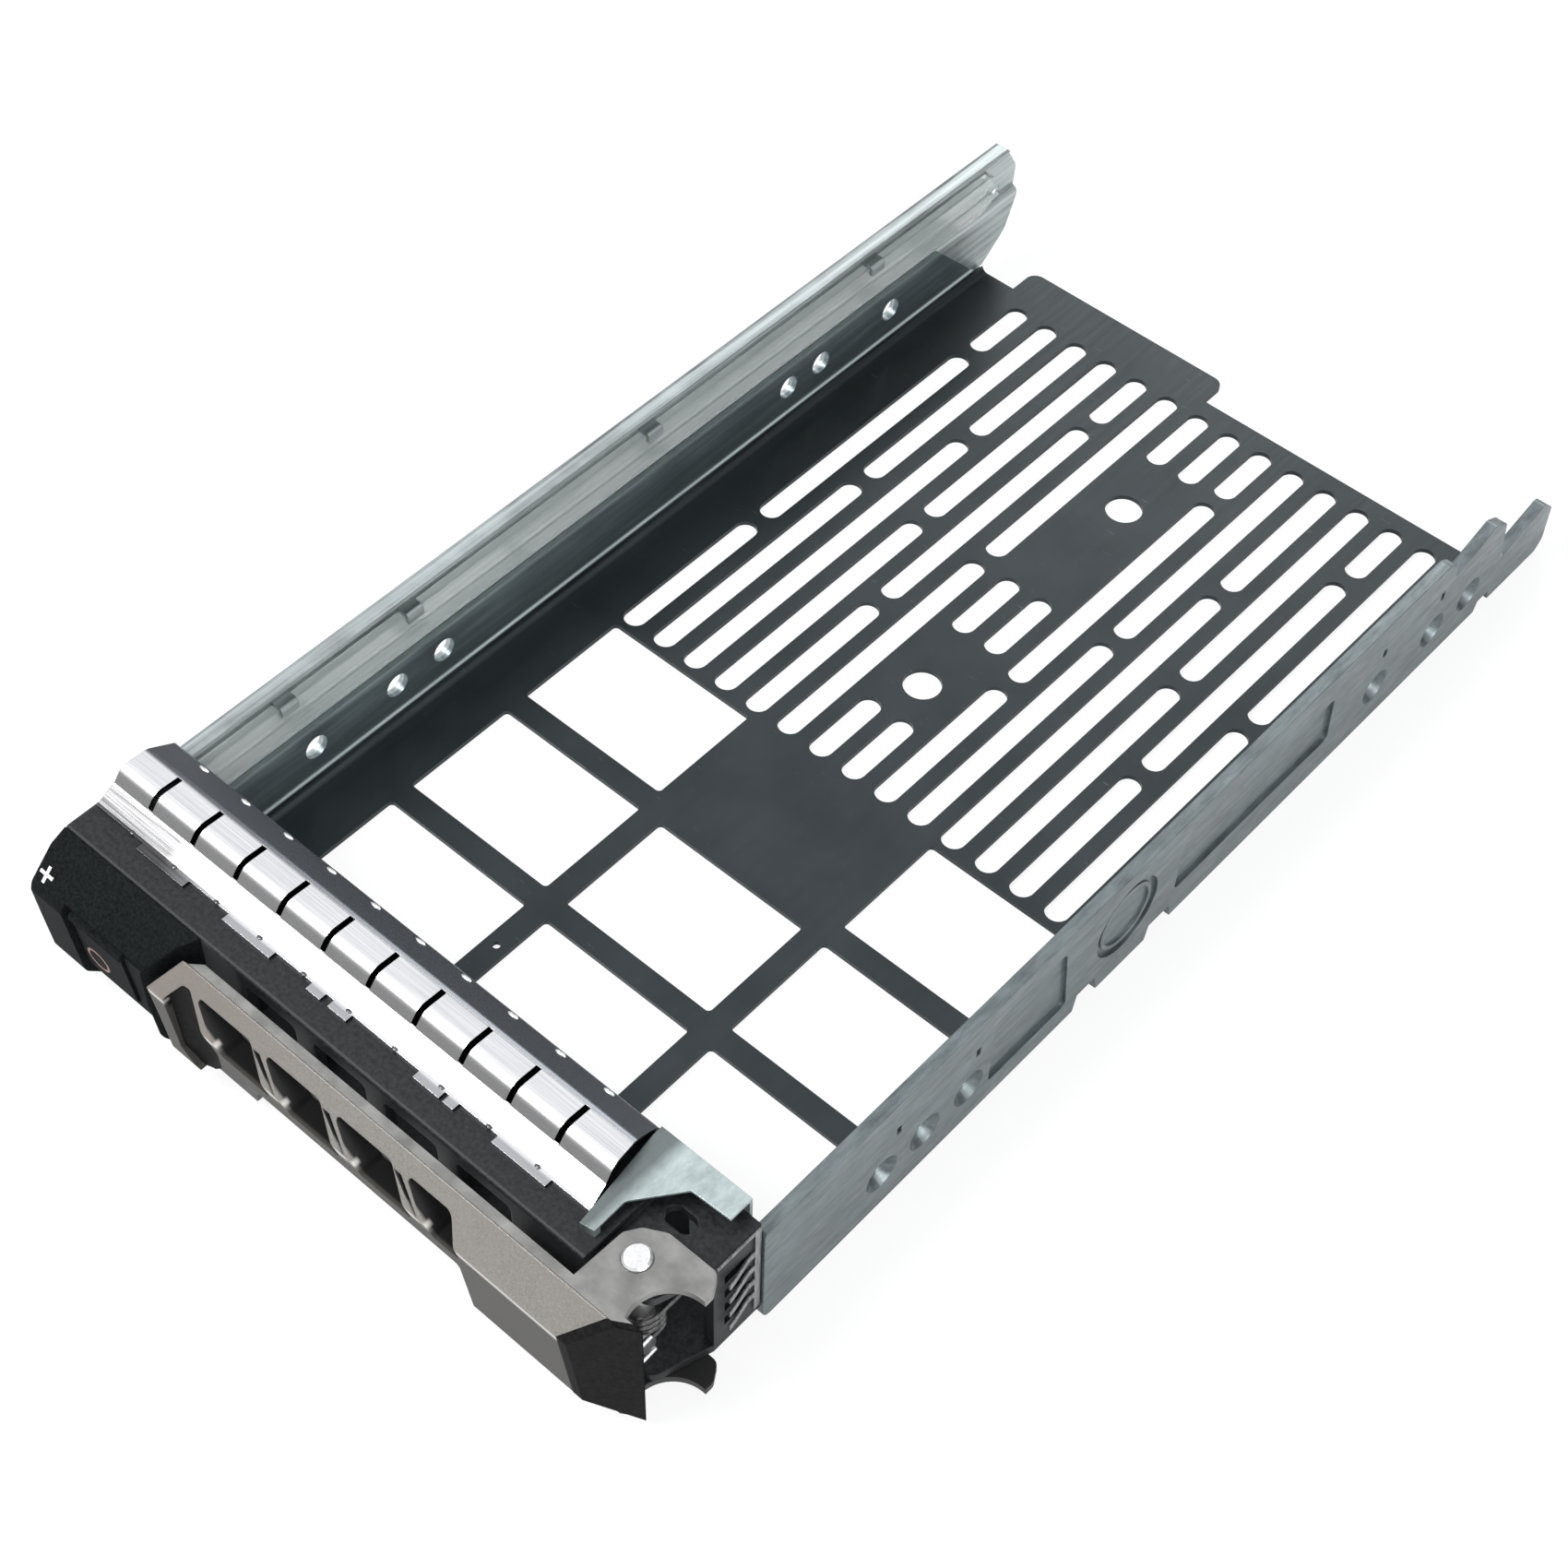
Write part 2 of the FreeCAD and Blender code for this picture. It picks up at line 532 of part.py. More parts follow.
def front_windows():
    """Air openings through the bezel's front wall, behind the handle vents."""
    tools = []
    for index in range(VENTS):
        x = CAP_RIGHT + 8.0 + index * VENT_PITCH
        end = x + VENT_PITCH - 3.35
        tools.append(prism([(x, 3.5), (end, 3.5), (end, 21.5), (x, 21.5)], "xz",
                           BEZEL_FRONT - 1, BEZEL_FRONT + BEZEL_WALL + 1, 1.0))
    return tools


def make_bezel_body():
    x0, x1 = -HALF_WIDTH, BEZEL_RIGHT
    wall = BEZEL_WALL
    floor_front = BEZEL_FRONT + 4 - FIT
    section = [(BEZEL_FRONT, GROUND), (floor_front, GROUND), (floor_front, -TONGUE_STEP),
               (BEZEL_REAR, -TONGUE_STEP), (BEZEL_REAR, wall), (BEZEL_FRONT + wall, wall),
               (BEZEL_FRONT + wall, BEZEL_TOP - wall), (BEZEL_REAR, BEZEL_TOP - wall),
               (BEZEL_REAR, BEZEL_TOP), (BEZEL_FRONT, BEZEL_TOP)]
    shell = prism(section, "yz", x0, x1, [0, 0, 0, 0, 0, 0.8, 0.8, 0, 0, 0.6])
    left_wall = block(x0, x0 + wall, BEZEL_FRONT + 0.5, BEZEL_REAR, GROUND, BEZEL_TOP - 0.5)
    right_wall = block(x1 - wall, x1, BEZEL_FRONT + 0.5, BEZEL_REAR, 0.5, BEZEL_TOP - 0.5)
    plates = [pivot_plate(PLATE_TOP - 1.5, PLATE_TOP), pivot_plate(PLATE_LOW, PLATE_LOW + 1.5)]
    cheek_x = RIGHT_OUT - 0.7
    cheek = block(cheek_x - wall, cheek_x, PIN_Y + 5.6, BEZEL_REAR, PLATE_LOW, PLATE_TOP)
    bosses = [rod(3.0, (x, screw_row_y(), 0), 5.0, (0, 0, 1)) for x in SCREW_PLACES]
    body = fuse(shell, left_wall, right_wall, cheek, *plates, *bosses)
    tools = front_windows()
    tools += [screw_shape(x) for x in SCREW_PLACES]
    tools.append(rod(PIN_R, (PIN_X, PIN_Y, -2), 30, (0, 0, 1)))
    tools += [block(PIPE_OUT - 0.1, PIPE_IN + 0.1, BEZEL_FRONT - 1, BEZEL_REAR + 1,
                    z - 0.1, z + PIPE_HEIGHT + 0.1) for z in (PIPE_LOW_Z, PIPE_HIGH_Z)]
    for left, right in ((STEM_LEFT - 1, STEM_RIGHT + 1), (HEAD_LEFT - 0.6, ARM_RIGHT + 1.4)):
        tools.append(block(left, right, BEZEL_FRONT - 1, BEZEL_FRONT + wall + 1, LATCH_Z0 - 1, LATCH_Z1 + 1))
    oval = slot(0, -2.3, 2.3, 2.8, PLATE_TOP - 2, PLATE_TOP + 1)
    oval.rotate(V(0, 0, 0), V(0, 0, 1), -90)
    oval.translate(V(PIN_X - 0.3, PIN_Y + 7.9, 0))
    tools.append(oval)
    for z in cheek_slots():
        tools.append(block(cheek_x - wall - 1, cheek_x + 1, BEZEL_REAR - 6.5, BEZEL_REAR - 1.8,
                           z - 0.3, z + 1.5))
    return cut(body, *tools)


# ---------------------------------------------------------------- button and latch

def make_release_button():
    profile = inset(cap_profile(), POCKET_DEPTH - 0.4)
    face = prism(profile, "yz", BUTTON_LEFT, BUTTON_RIGHT)
    face = face.common(block(BUTTON_LEFT, BUTTON_RIGHT, NOSE_FRONT - 1, BEZEL_FRONT - 3.3,
                             BUTTON_LOW, BUTTON_HIGH))
    low = BUTTON_LOW - 0.6
    front = cap_front_y(low) + POCKET_DEPTH + CAP_SKIN + FIT
    flange = block(BUTTON_LEFT - 1, BUTTON_RIGHT + 1, front, front + FLANGE_THICK, low, BUTTON_HIGH - 0.2)
    stem = prism([(STEM_LEFT, front), (STEM_RIGHT, front), (STEM_RIGHT, STEM_REAR),
                  (STEM_LEFT + 1.0, STEM_REAR), (STEM_LEFT, STEM_REAR - 1.0)], "xy", LATCH_Z0, LATCH_Z1)
    return fuse(face, flange, stem)


def make_latch_slider():
    edge = STEM_LEFT - (STEM_REAR - 1.0) - FIT * math.sqrt(2)
    bar = block(SLIDER_LEFT, HEAD_LEFT - 0.6, SLIDER_FRONT, SLIDER_REAR, LATCH_Z0 - 1.2, LATCH_Z1 + 1.2)
    eye = prism([(edge + SLIDER_FRONT, SLIDER_FRONT), (STEM_RIGHT + 2.8, SLIDER_FRONT),
                 (STEM_RIGHT + 2.8, SLIDER_REAR), (edge + SLIDER_REAR, SLIDER_REAR)], "xy",
                LATCH_Z0 - 0.4, LATCH_Z1 + 0.4)
    tooth = prism([(HEAD_LEFT - 2.5, SLIDER_FRONT), (HEAD_LEFT - FIT, SLIDER_FRONT),
                   (HEAD_LEFT - FIT, SLIDER_FRONT + 1.1), (HEAD_LEFT - 2.5, SLIDER_FRONT + 2.4)],
                  "xy", LATCH_Z0, LATCH_Z1)
    return fuse(cut(bar, eye), tooth)


def make_latch_housing():
    """Channel behind the front wall that guides the slider and backs its spring."""
    gap = FIT
    x0, x1 = HOUSING_LEFT, HEAD_LEFT - 3.4
    z0, z1 = LATCH_Z0 - 1.2 - gap, LATCH_Z1 + 1.2 + gap
    wall = 1.2
    front = BEZEL_FRONT + BEZEL_WALL
    outer = block(x0, x1, front, SLIDER_REAR + gap + 1.6, z0 - wall, z1 + wall)
    inner = block(x0 + HOUSING_END, x1 + 1, front - 1, SLIDER_REAR + gap, z0, z1)
    housing = outer.cut(inner)
    feet = [block(x0, x1, front, front + wall, z0 - wall - 2.5, z0 - wall),
            block(x0, x1, front, front + wall, z1 + wall, z1 + wall + 2.5)]
    stem_room = block(STEM_LEFT - 1, STEM_RIGHT + 1, SLIDER_REAR, SLIDER_REAR + gap + 1.0,
                      LATCH_Z0 - FIT, LATCH_Z1 + FIT)
    return cut(fuse(housing, *feet), stem_room)


def make_latch_spring():
    """Bowed leaf between the housing's end wall and the slider, shown pressed."""
    wall = HOUSING_LEFT + HOUSING_END
    middle = (SLIDER_FRONT + SLIDER_REAR) / 2
    path = [(wall, SLIDER_FRONT + 0.1), (wall + 0.3, middle), (wall, SLIDER_REAR - 0.1)]
    outline, radii = ribbon(path[::-1], LEAF_THICK, 0.4)
    return prism(outline, "xy", LATCH_Z0 - 1, LATCH_Z1 + 1, radii)


# ---------------------------------------------------------------- handle

def handle_profile():
    """Section of the grip, anticlockwise in (y, z)."""
    return [(NOSE_FRONT + 0.85, GRIP_CHIN_Z), (SPINE_FRONT, GRIP_CHIN_Z - 2.2),
            (SPINE_FRONT, HANDLE_TOP - 0.4), (SPINE_FRONT - 0.3, HANDLE_TOP), (NOSE_FRONT, NOSE_Z)]


def left_bevel(y):
    """x of the bevelled left end at depth y."""
    return CAP_RIGHT + 1.7 + (y - SPINE_FRONT) * (4.8 / (SPINE_FRONT - NOSE_FRONT))


def right_bevel(y):
    """x of the bevelled right end at depth y."""
    return RIGHT_OUT - 8.5 + (y - NOSE_FRONT) * 1.5


def handle_plan(y0, y1, trim=0.0):
    return [(left_bevel(y0), y0), (right_bevel(y0) - trim, y0), (right_bevel(y1) - trim, y1),
            (left_bevel(y1), y1)]


def arch_tool():
    """Space under the grip's middle, with a raised and slanted underside."""
    outline = [(ARCH_LEFT - 12.0, HANDLE_LOW - 1), (ARCH_LEFT - 10.8, 3.4), (ARCH_LEFT - 3.0, 12.2),
               (ARCH_LEFT, ARCH_Z), (ARCH_RIGHT, ARCH_Z), (ARCH_RIGHT + 1.5, HANDLE_LOW - 1)]
    return prism(outline, "xz", NOSE_FRONT - 1, SPINE_FRONT + 0.001, [0, 2.0, 4.0, 2.0, 1.0, 0])


def vent_outline(index):
    top, low = 22.0, 16.4
    t0 = CAP_RIGHT + 4.8 + index * VENT_PITCH
    t1 = min(t0 + VENT_PITCH - 2.45, RIGHT_OUT - 29.5)
    b0 = CAP_RIGHT + 11.3 + index * VENT_PITCH
    b1 = min(b0 + VENT_PITCH - 3.55, RIGHT_OUT - 26.5)
    return [(b0, low), (b1, low), (t1, top), (t0, top)]


def pad_outline():
    """Outline of the thumb pad, from the grip's left end."""
    return [(CAP_RIGHT + u, v) for u, v in ((0.4, 7.0), (3.0, 4.0), (5.4, 5.2), (9.8, 10.6), (10.0, 15.6),
                                            (3.8, 22.0), (2.4, 21.8), (0.0, 18.4))]


def make_handle_cover():
    profile = handle_profile()
    body = prism(profile, "yz", CAP_RIGHT - 13, RIGHT_OUT + 6, [0.6, 0, 0, 0, 0.9])
    body = body.common(prism(handle_plan(NOSE_FRONT - 1, SPINE_FRONT, END_CAP), "xy", 0, 30))
    tools = [arch_tool()]
    tools += [prism(vent_outline(i), "xz", NOSE_FRONT - 1, SPINE_FRONT + 1, [0.3, 0.4, 1.6, 0.5])
              for i in range(VENTS)]
    tools.append(prism(pad_outline(), "xz", NOSE_FRONT - 1, SPINE_FRONT - 1.6, 1.0))
    body = cut(body, *tools)
    grooves = []
    for index in range(VENTS - 1):
        right = vent_outline(index)
        left = vent_outline(index + 1)
        top = ((right[2][0] + left[3][0]) / 2, 21.4)
        low = ((right[1][0] + left[0][0]) / 2, 17.2)
        grooves.append(prism([(low[0] - 0.3, low[1]), (low[0] + 0.3, low[1]), (top[0] + 0.8, top[1]),
                              (top[0] - 0.5, top[1])], "xz", NOSE_FRONT - 1, SPINE_FRONT - 1.0))
    return cut(body, *grooves)


def make_finger_pad():
    """Dark concave thumb pad set into the left end of the grip."""
    profile = [(NOSE_FRONT + 1.8, HANDLE_LOW), (SPINE_FRONT, HANDLE_LOW), (SPINE_FRONT, HANDLE_TOP),
               (NOSE_FRONT + 3.2, HANDLE_TOP), (NOSE_FRONT + 0.3, NOSE_Z)]
    pad = prism(profile, "yz", CAP_RIGHT - 3, CAP_RIGHT + 17)
    pad = pad.common(prism(inset(pad_outline(), 0.05), "xz", NOSE_FRONT - 1, SPINE_FRONT - 1.6, 0.9))
    scoop = rod(14.0, (CAP_RIGHT + 5.0, NOSE_FRONT - 12.0, 0), 30, (0, 0, 1))
    return pad.cut(scoop)


def ear_outline():
    """Plan of an ear, with its jaw open towards the front right."""
    return [(PIN_X - 4.0, HANDLE_REAR), (PIN_X + 7.2, HANDLE_REAR), (PIN_X + 9.9, PIN_Y - 1.0),
            (PIN_X + 9.9, PIN_Y + 2.6), (PIN_X + 8.4, PIN_Y + 5.0), (PIN_X + 0.5, PIN_Y + 5.0),
            (PIN_X - 2.4, PIN_Y + 3.4), (PIN_X - 3.7, PIN_Y + 1.4)]


def make_ear(z0):
    ear = prism(ear_outline(), "xy", z0, z0 + EAR_THICK, [0, 0, 0.5, 1.2, 1.4, 1.8, 1.2, 1.0])
    jaw = rod(JAW_R, (PIN_X + 9.5, PIN_Y - 4.4, z0 - 1), EAR_THICK + 2, (0, 0, 1))
    hole = rod(PIN_R + PIN_CLEARANCE, (PIN_X, PIN_Y, z0 - 1), EAR_THICK + 2, (0, 0, 1))
    return cut(ear, jaw, hole)


def make_handle_lever():
    spine = prism(handle_plan(SPINE_FRONT, HANDLE_REAR, END_CAP), "xy", HANDLE_LOW, HANDLE_TOP - 0.6)
    low_right = block(PIN_X - 4.0, right_bevel(HANDLE_REAR), SPINE_FRONT + 0.2, HANDLE_REAR,
                      LOW_EAR, HANDLE_LOW + 0.2)
    low_right = low_right.common(prism(handle_plan(SPINE_FRONT, HANDLE_REAR, END_CAP), "xy", -5, 5))
    arch = [(ARCH_LEFT - 3.0, HANDLE_LOW - 1), (ARCH_LEFT - 2.0, 4.0), (ARCH_RIGHT - 1, 4.0),
            (ARCH_RIGHT + 0.5, HANDLE_LOW - 1)]
    tools = [prism(arch, "xz", SPINE_FRONT - 1, HANDLE_REAR + 1, [0, 1.0, 1.0, 0])]
    for index in range(VENTS):
        x = CAP_RIGHT + 8.0 + index * VENT_PITCH
        end = x + VENT_PITCH - 3.35
        tools.append(prism([(x, 7.0), (end, 7.0), (end, 21.0), (x, 21.0)], "xz",
                           SPINE_FRONT - 1, HANDLE_REAR + 1, 1.0))
    spine = cut(spine, *tools)
    arm = block(ARM_LEFT, ARM_RIGHT, HANDLE_REAR - 0.2, SLIDER_REAR + 0.4, LATCH_Z0, LATCH_Z1)
    head = prism([(HEAD_LEFT, SLIDER_FRONT + 1.4), (ARM_RIGHT, SLIDER_FRONT + 1.4),
                  (ARM_RIGHT, SLIDER_REAR + 0.4), (HEAD_LEFT + 1.6, SLIDER_REAR + 0.4)],
                 "xy", LATCH_Z0, LATCH_Z1)
    return fuse(spine, low_right, make_ear(EAR_TOP - EAR_THICK), make_ear(LOW_EAR), arm, head)


def make_handle_end_cap():
    """Dark plate that closes the bevelled right end of the grip and its spine."""
    profile = handle_profile()
    profile[1] = (HANDLE_REAR, HANDLE_LOW)
    profile[2:4] = [(HANDLE_REAR, HANDLE_TOP - 0.6), (SPINE_FRONT, HANDLE_TOP - 0.4),
                    (SPINE_FRONT - 0.3, HANDLE_TOP)]
    body = prism(profile, "yz", RIGHT_OUT - 24, RIGHT_OUT + 6)
    front, rear = NOSE_FRONT - 1, HANDLE_REAR
    return body.common(prism([(right_bevel(front) - END_CAP, front), (right_bevel(front), front),
                              (right_bevel(rear), rear), (right_bevel(rear) - END_CAP, rear)], "xy", 0, 30))


def make_pivot_pin():
    top = EAR_TOP + 0.6
    pin = rod(PIN_R, (PIN_X, PIN_Y, LOW_EAR - 0.4), top - LOW_EAR + 0.4, (0, 0, 1))
    ends = [e for e in pin.Edges if len(e.Vertexes) == 1 and abs(e.Length - 2 * math.pi * PIN_R) < 0.1]
    return pin.makeChamfer(0.35, ends)


def wire_section(centre, along, radius):
    """Hexagonal section of a thin wire, square to its run."""
    run = V(along).normalize()
    side = run.cross(V(0, 0, 1)).normalize()
    rise = run.cross(side)
    corners = []
    for i in range(6):
        angle = math.pi * i / 3
        corners.append(centre + side * (radius * math.cos(angle)) + rise * (radius * math.sin(angle)))
    return Part.Wire(Part.makePolygon(corners + corners[:1]))


def make_torsion_spring():
    """Kick-out spring round the pin, with one leg on the grip and one free to the rear."""
    radius = PIN_R + SPRING_WIRE + 0.7
    low = V(PIN_X + radius, PIN_Y, SPRING_Z)
    high = low + V(0, 0, SPRING_PITCH * SPRING_TURNS)
    helix = Part.makeHelix(SPRING_PITCH, SPRING_PITCH * SPRING_TURNS, radius)
    helix.translate(V(PIN_X, PIN_Y, SPRING_Z))
    section = wire_section(low, V(0, 1, SPRING_PITCH / (2 * math.pi * radius)), SPRING_WIRE)
    coil = Part.Wire(helix).makePipeShell([section], True, True)
    lap = V(0, 0.05, 0)
    front_end = Part.Face(wire_section(low + lap, V(0, -1, 0), SPRING_WIRE))
    front_leg = front_end.extrude(V(0, HANDLE_REAR - PIN_Y, 0) - lap)
    rear_end = Part.Face(wire_section(high - lap, V(0, 1, 0), SPRING_WIRE))
    rear_leg = rear_end.extrude(V(0, SPRING_LEG, 0) + lap)
    return fuse(coil, front_leg, rear_leg)


# ---------------------------------------------------------------- shielding

def strip_path():
    rear = BEZEL_REAR + 0.1 + SPRING_SHEET
    top = BEZEL_TOP + 0.05 + SPRING_SHEET
    return [(rear, BEZEL_TOP - 2.6), (rear, top + 0.5), (BEZEL_REAR - 4.0, top + 3.2),
            (BEZEL_REAR - 8.4, top + 3.5), (BEZEL_REAR - 10.0, top + 1.5), (BEZEL_REAR - 13.0, top),
            (BEZEL_REAR - 14.6, top)]


def make_emi_top_strip():
    outline, radii = ribbon(strip_path(), SPRING_SHEET, [0, 0.4, DOME_R, DOME_R, 0.4, 0.4, 0])
    left, right = -HALF_WIDTH + 0.4, STRIP_RIGHT
    strip = prism(outline, "yz", left, right + 2.0, radii)
    end = [(left, BEZEL_REAR + 3), (left, BEZEL_REAR - 20), (right + 1.6, BEZEL_REAR - 20),
           (right + 1.6, BEZEL_REAR - 13.6), (right, BEZEL_REAR - 1), (right, BEZEL_REAR + 3)]
    strip = strip.common(prism(end, "xy", 15, 40))
    rail_room = -HALF_WIDTH + LEFT_FLANGE + FIT
    tools = [block(left - 1, rail_room, BEZEL_REAR, BEZEL_REAR + 3, 15, BEZEL_TOP + 0.4)]
    for index in range(SHIELD_FINGERS - 1):
        x = FIRST_GAP_X + index * FINGER_PITCH
        tools.append(block(x - FINGER_GAP / 2, x + FINGER_GAP / 2, BEZEL_REAR - 9.9, BEZEL_REAR - 4.4,
                           20, 40))
    tabs = [(-44.0, -34.8), (-27.1, -18.1), (-11.2, -8.6), (-7.2, -3.8), (8.3, 12.9), (13.6, 15.4),
            (22.1, 31.3)]
    edges = [left - 1] + [v for pair in tabs for v in pair] + [right + 5]
    front = BEZEL_REAR - 13.4
    for a, b in zip(edges[0::2], edges[1::2]):
        tools.append(block(a, b, front - 5, front, 20, 40))
    return cut(strip, *tools)


def make_emi_corner_bracket():
    plate_z = BEZEL_TOP + 1.6
    left = STRIP_RIGHT + 0.4
    right = RIGHT_OUT - 2.6
    tip, tip_end = RIGHT_OUT - 15.6, RIGHT_OUT - 13.5
    front = BEZEL_FRONT + 2.6
    outline = [(left, BEZEL_REAR - 1.0), (tip, front), (tip_end, front + 0.4), (tip_end - 0.1, front + 5.8),
               (tip_end + 4.7, BEZEL_REAR - 3.7), (right, BEZEL_REAR - 3.4), (right, BEZEL_REAR + 0.5),
               (left, BEZEL_REAR + 0.5)]
    plate = prism(outline, "xy", plate_z - SPRING_SHEET, plate_z, [0, 0, 0, 1.0, 0.6, 0, 0, 0])
    rear = block(left, right, BEZEL_REAR, BEZEL_REAR + 0.5, PLATE_TOP - 3, plate_z)
    foot = prism([(tip, front), (tip_end, front + 0.4), (tip_end, front + 1.4), (tip, front + 1.0)], "xy",
                 BEZEL_TOP, plate_z)
    return fuse(plate, rear, foot)


def make_emi_side_fingers():
    """Thin clip on the housing's cheek, with a row of bowed fingers and a lip along the top."""
    x0 = RIGHT_OUT - 0.7
    x1 = x0 + CLIP_SHEET
    front, rear = PIN_Y + 6.0, BEZEL_REAR - 0.2
    low, high = PLATE_LOW + 1.5, PLATE_TOP - 0.3
    spine = block(x0, x1, rear - 1.1, rear, low, high)
    lip = block(x0, x1, front, rear, high - 0.5, high)
    bow = [(x0, rear - 1.0), (x0, rear - 2.2), (x0 + 0.7, rear - 5.4), (x0 + 0.9, rear - 6.6)]
    outline, radii = ribbon(bow, CLIP_SHEET, 0.3)
    fingers = [prism(outline, "xy", z, z + 1.2, radii) for z in cheek_slots()]
    return fuse(spine, lip, *fingers)


PARTS = {
    "tray": make_tray,
    "tray_left_wall": lambda: make_tray_wall(-1),
    "tray_right_wall": lambda: make_tray_wall(1),
    "bezel_screws": make_bezel_screws,
    "left_rail": make_left_rail,
    "right_rail": make_right_rail,
    "status_light_pipe": lambda: make_light_pipe(PIPE_HIGH_Z),
    "activity_light_pipe": lambda: make_light_pipe(PIPE_LOW_Z),
    "bezel_body": make_bezel_body,
    "bezel_cap": make_bezel_cap,
    "release_button": make_release_button,
    "latch_slider": make_latch_slider,
    "latch_housing": make_latch_housing,
    "latch_spring": make_latch_spring,
    "handle_cover": make_handle_cover,
    "finger_pad": make_finger_pad,
    "handle_lever": make_handle_lever,
    "handle_end_cap": make_handle_end_cap,
    "pivot_pin": make_pivot_pin,
    "torsion_spring": make_torsion_spring,
    "emi_top_strip": make_emi_top_strip,
    "emi_corner_bracket": make_emi_corner_bracket,
    "emi_side_fingers": make_emi_side_fingers,
}


def main():
    os.makedirs("parts", exist_ok=True)
    for name, make in PARTS.items():
        shape = make()
        solids = shape.Solids
        volume = sum(s.Volume for s in solids)
        box = shape.BoundBox
        print(name, len(solids), shape.isValid(), round(volume, 1),
              [round(v, 1) for v in (box.XMin, box.XMax, box.YMin, box.YMax, box.ZMin, box.ZMax)])
        shape.exportStep("parts/%s.step" % name)


main()
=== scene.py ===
import math

import bmesh
import bpy
from mathutils import Matrix, Vector
from mathutils.bvhtree import BVHTree


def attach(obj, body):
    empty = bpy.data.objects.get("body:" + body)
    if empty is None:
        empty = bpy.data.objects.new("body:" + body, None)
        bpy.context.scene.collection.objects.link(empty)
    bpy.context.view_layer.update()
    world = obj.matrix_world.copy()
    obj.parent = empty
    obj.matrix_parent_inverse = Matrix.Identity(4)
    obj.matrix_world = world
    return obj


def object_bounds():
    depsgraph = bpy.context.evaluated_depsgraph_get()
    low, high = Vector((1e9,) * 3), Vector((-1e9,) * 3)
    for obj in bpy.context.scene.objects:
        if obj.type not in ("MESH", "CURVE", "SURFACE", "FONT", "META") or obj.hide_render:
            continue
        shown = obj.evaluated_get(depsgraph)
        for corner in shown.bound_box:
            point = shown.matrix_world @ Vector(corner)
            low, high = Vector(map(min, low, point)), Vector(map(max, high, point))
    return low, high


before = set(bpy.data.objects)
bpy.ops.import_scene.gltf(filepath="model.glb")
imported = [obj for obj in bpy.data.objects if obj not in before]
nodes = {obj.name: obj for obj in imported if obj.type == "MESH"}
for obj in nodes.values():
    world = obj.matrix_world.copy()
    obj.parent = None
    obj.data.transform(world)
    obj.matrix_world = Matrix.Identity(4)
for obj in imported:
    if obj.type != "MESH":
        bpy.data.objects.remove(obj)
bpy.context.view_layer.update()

MM = 0.001


# ---------------------------------------------------------------- node helpers

class Nodes:
    """A node tree, with short calls for the nodes that the finishes and the world share."""

    def __init__(self, tree):
        self.tree = tree

    def add(self, kind, **settings):
        node = self.tree.nodes.new(kind)
        for key, value in settings.items():
            setattr(node, key, value)
        return node

    def put(self, socket, value):
        """Links an output to a socket, or writes a colour or a number on it."""
        if hasattr(value, "is_output"):
            self.tree.links.new(value, socket)
        elif isinstance(value, tuple):
            socket.default_value = (*value, 1.0)
        else:
            socket.default_value = value

    def ramp(self, value, *stops):
        """Colour ramp; each stop is (position, colour)."""
        node = self.add("ShaderNodeValToRGB")
        self.put(node.inputs["Fac"], value)
        elements = node.color_ramp.elements
        while len(elements) < len(stops):
            elements.new(0.5)
        for element, (position, colour) in zip(elements, stops):
            element.position = position
            element.color = (*colour, 1.0)
        return node.outputs["Color"]

    def mix(self, factor, a, b, mode="MIX"):
        """Colour a at factor 0, and b at factor 1."""
        node = self.add("ShaderNodeMix", data_type="RGBA", blend_type=mode)
        for key, value in (("Factor", factor), ("A", a), ("B", b)):
            self.put(node.inputs[key], value)
        return node.outputs["Result"]

    def split(self, vector, axis):
        node = self.add("ShaderNodeSeparateXYZ")
        self.put(node.inputs[0], vector)
        return node.outputs[axis]

    def span(self, value, low, high, to_low=0.0, to_high=1.0):
        """Maps a value from low..high, and holds it at the ends."""
        node = self.add("ShaderNodeMapRange")
        settings = (("Value", value), ("From Min", low), ("From Max", high), ("To Min", to_low), ("To Max", to_high))
        for key, number in settings:
            self.put(node.inputs[key], number)
        return node.outputs["Result"]

    def math(self, operation, *values):
        node = self.add("ShaderNodeMath", operation=operation)
        for socket, value in zip(node.inputs, values):
            self.put(socket, value)
        return node.outputs[0]


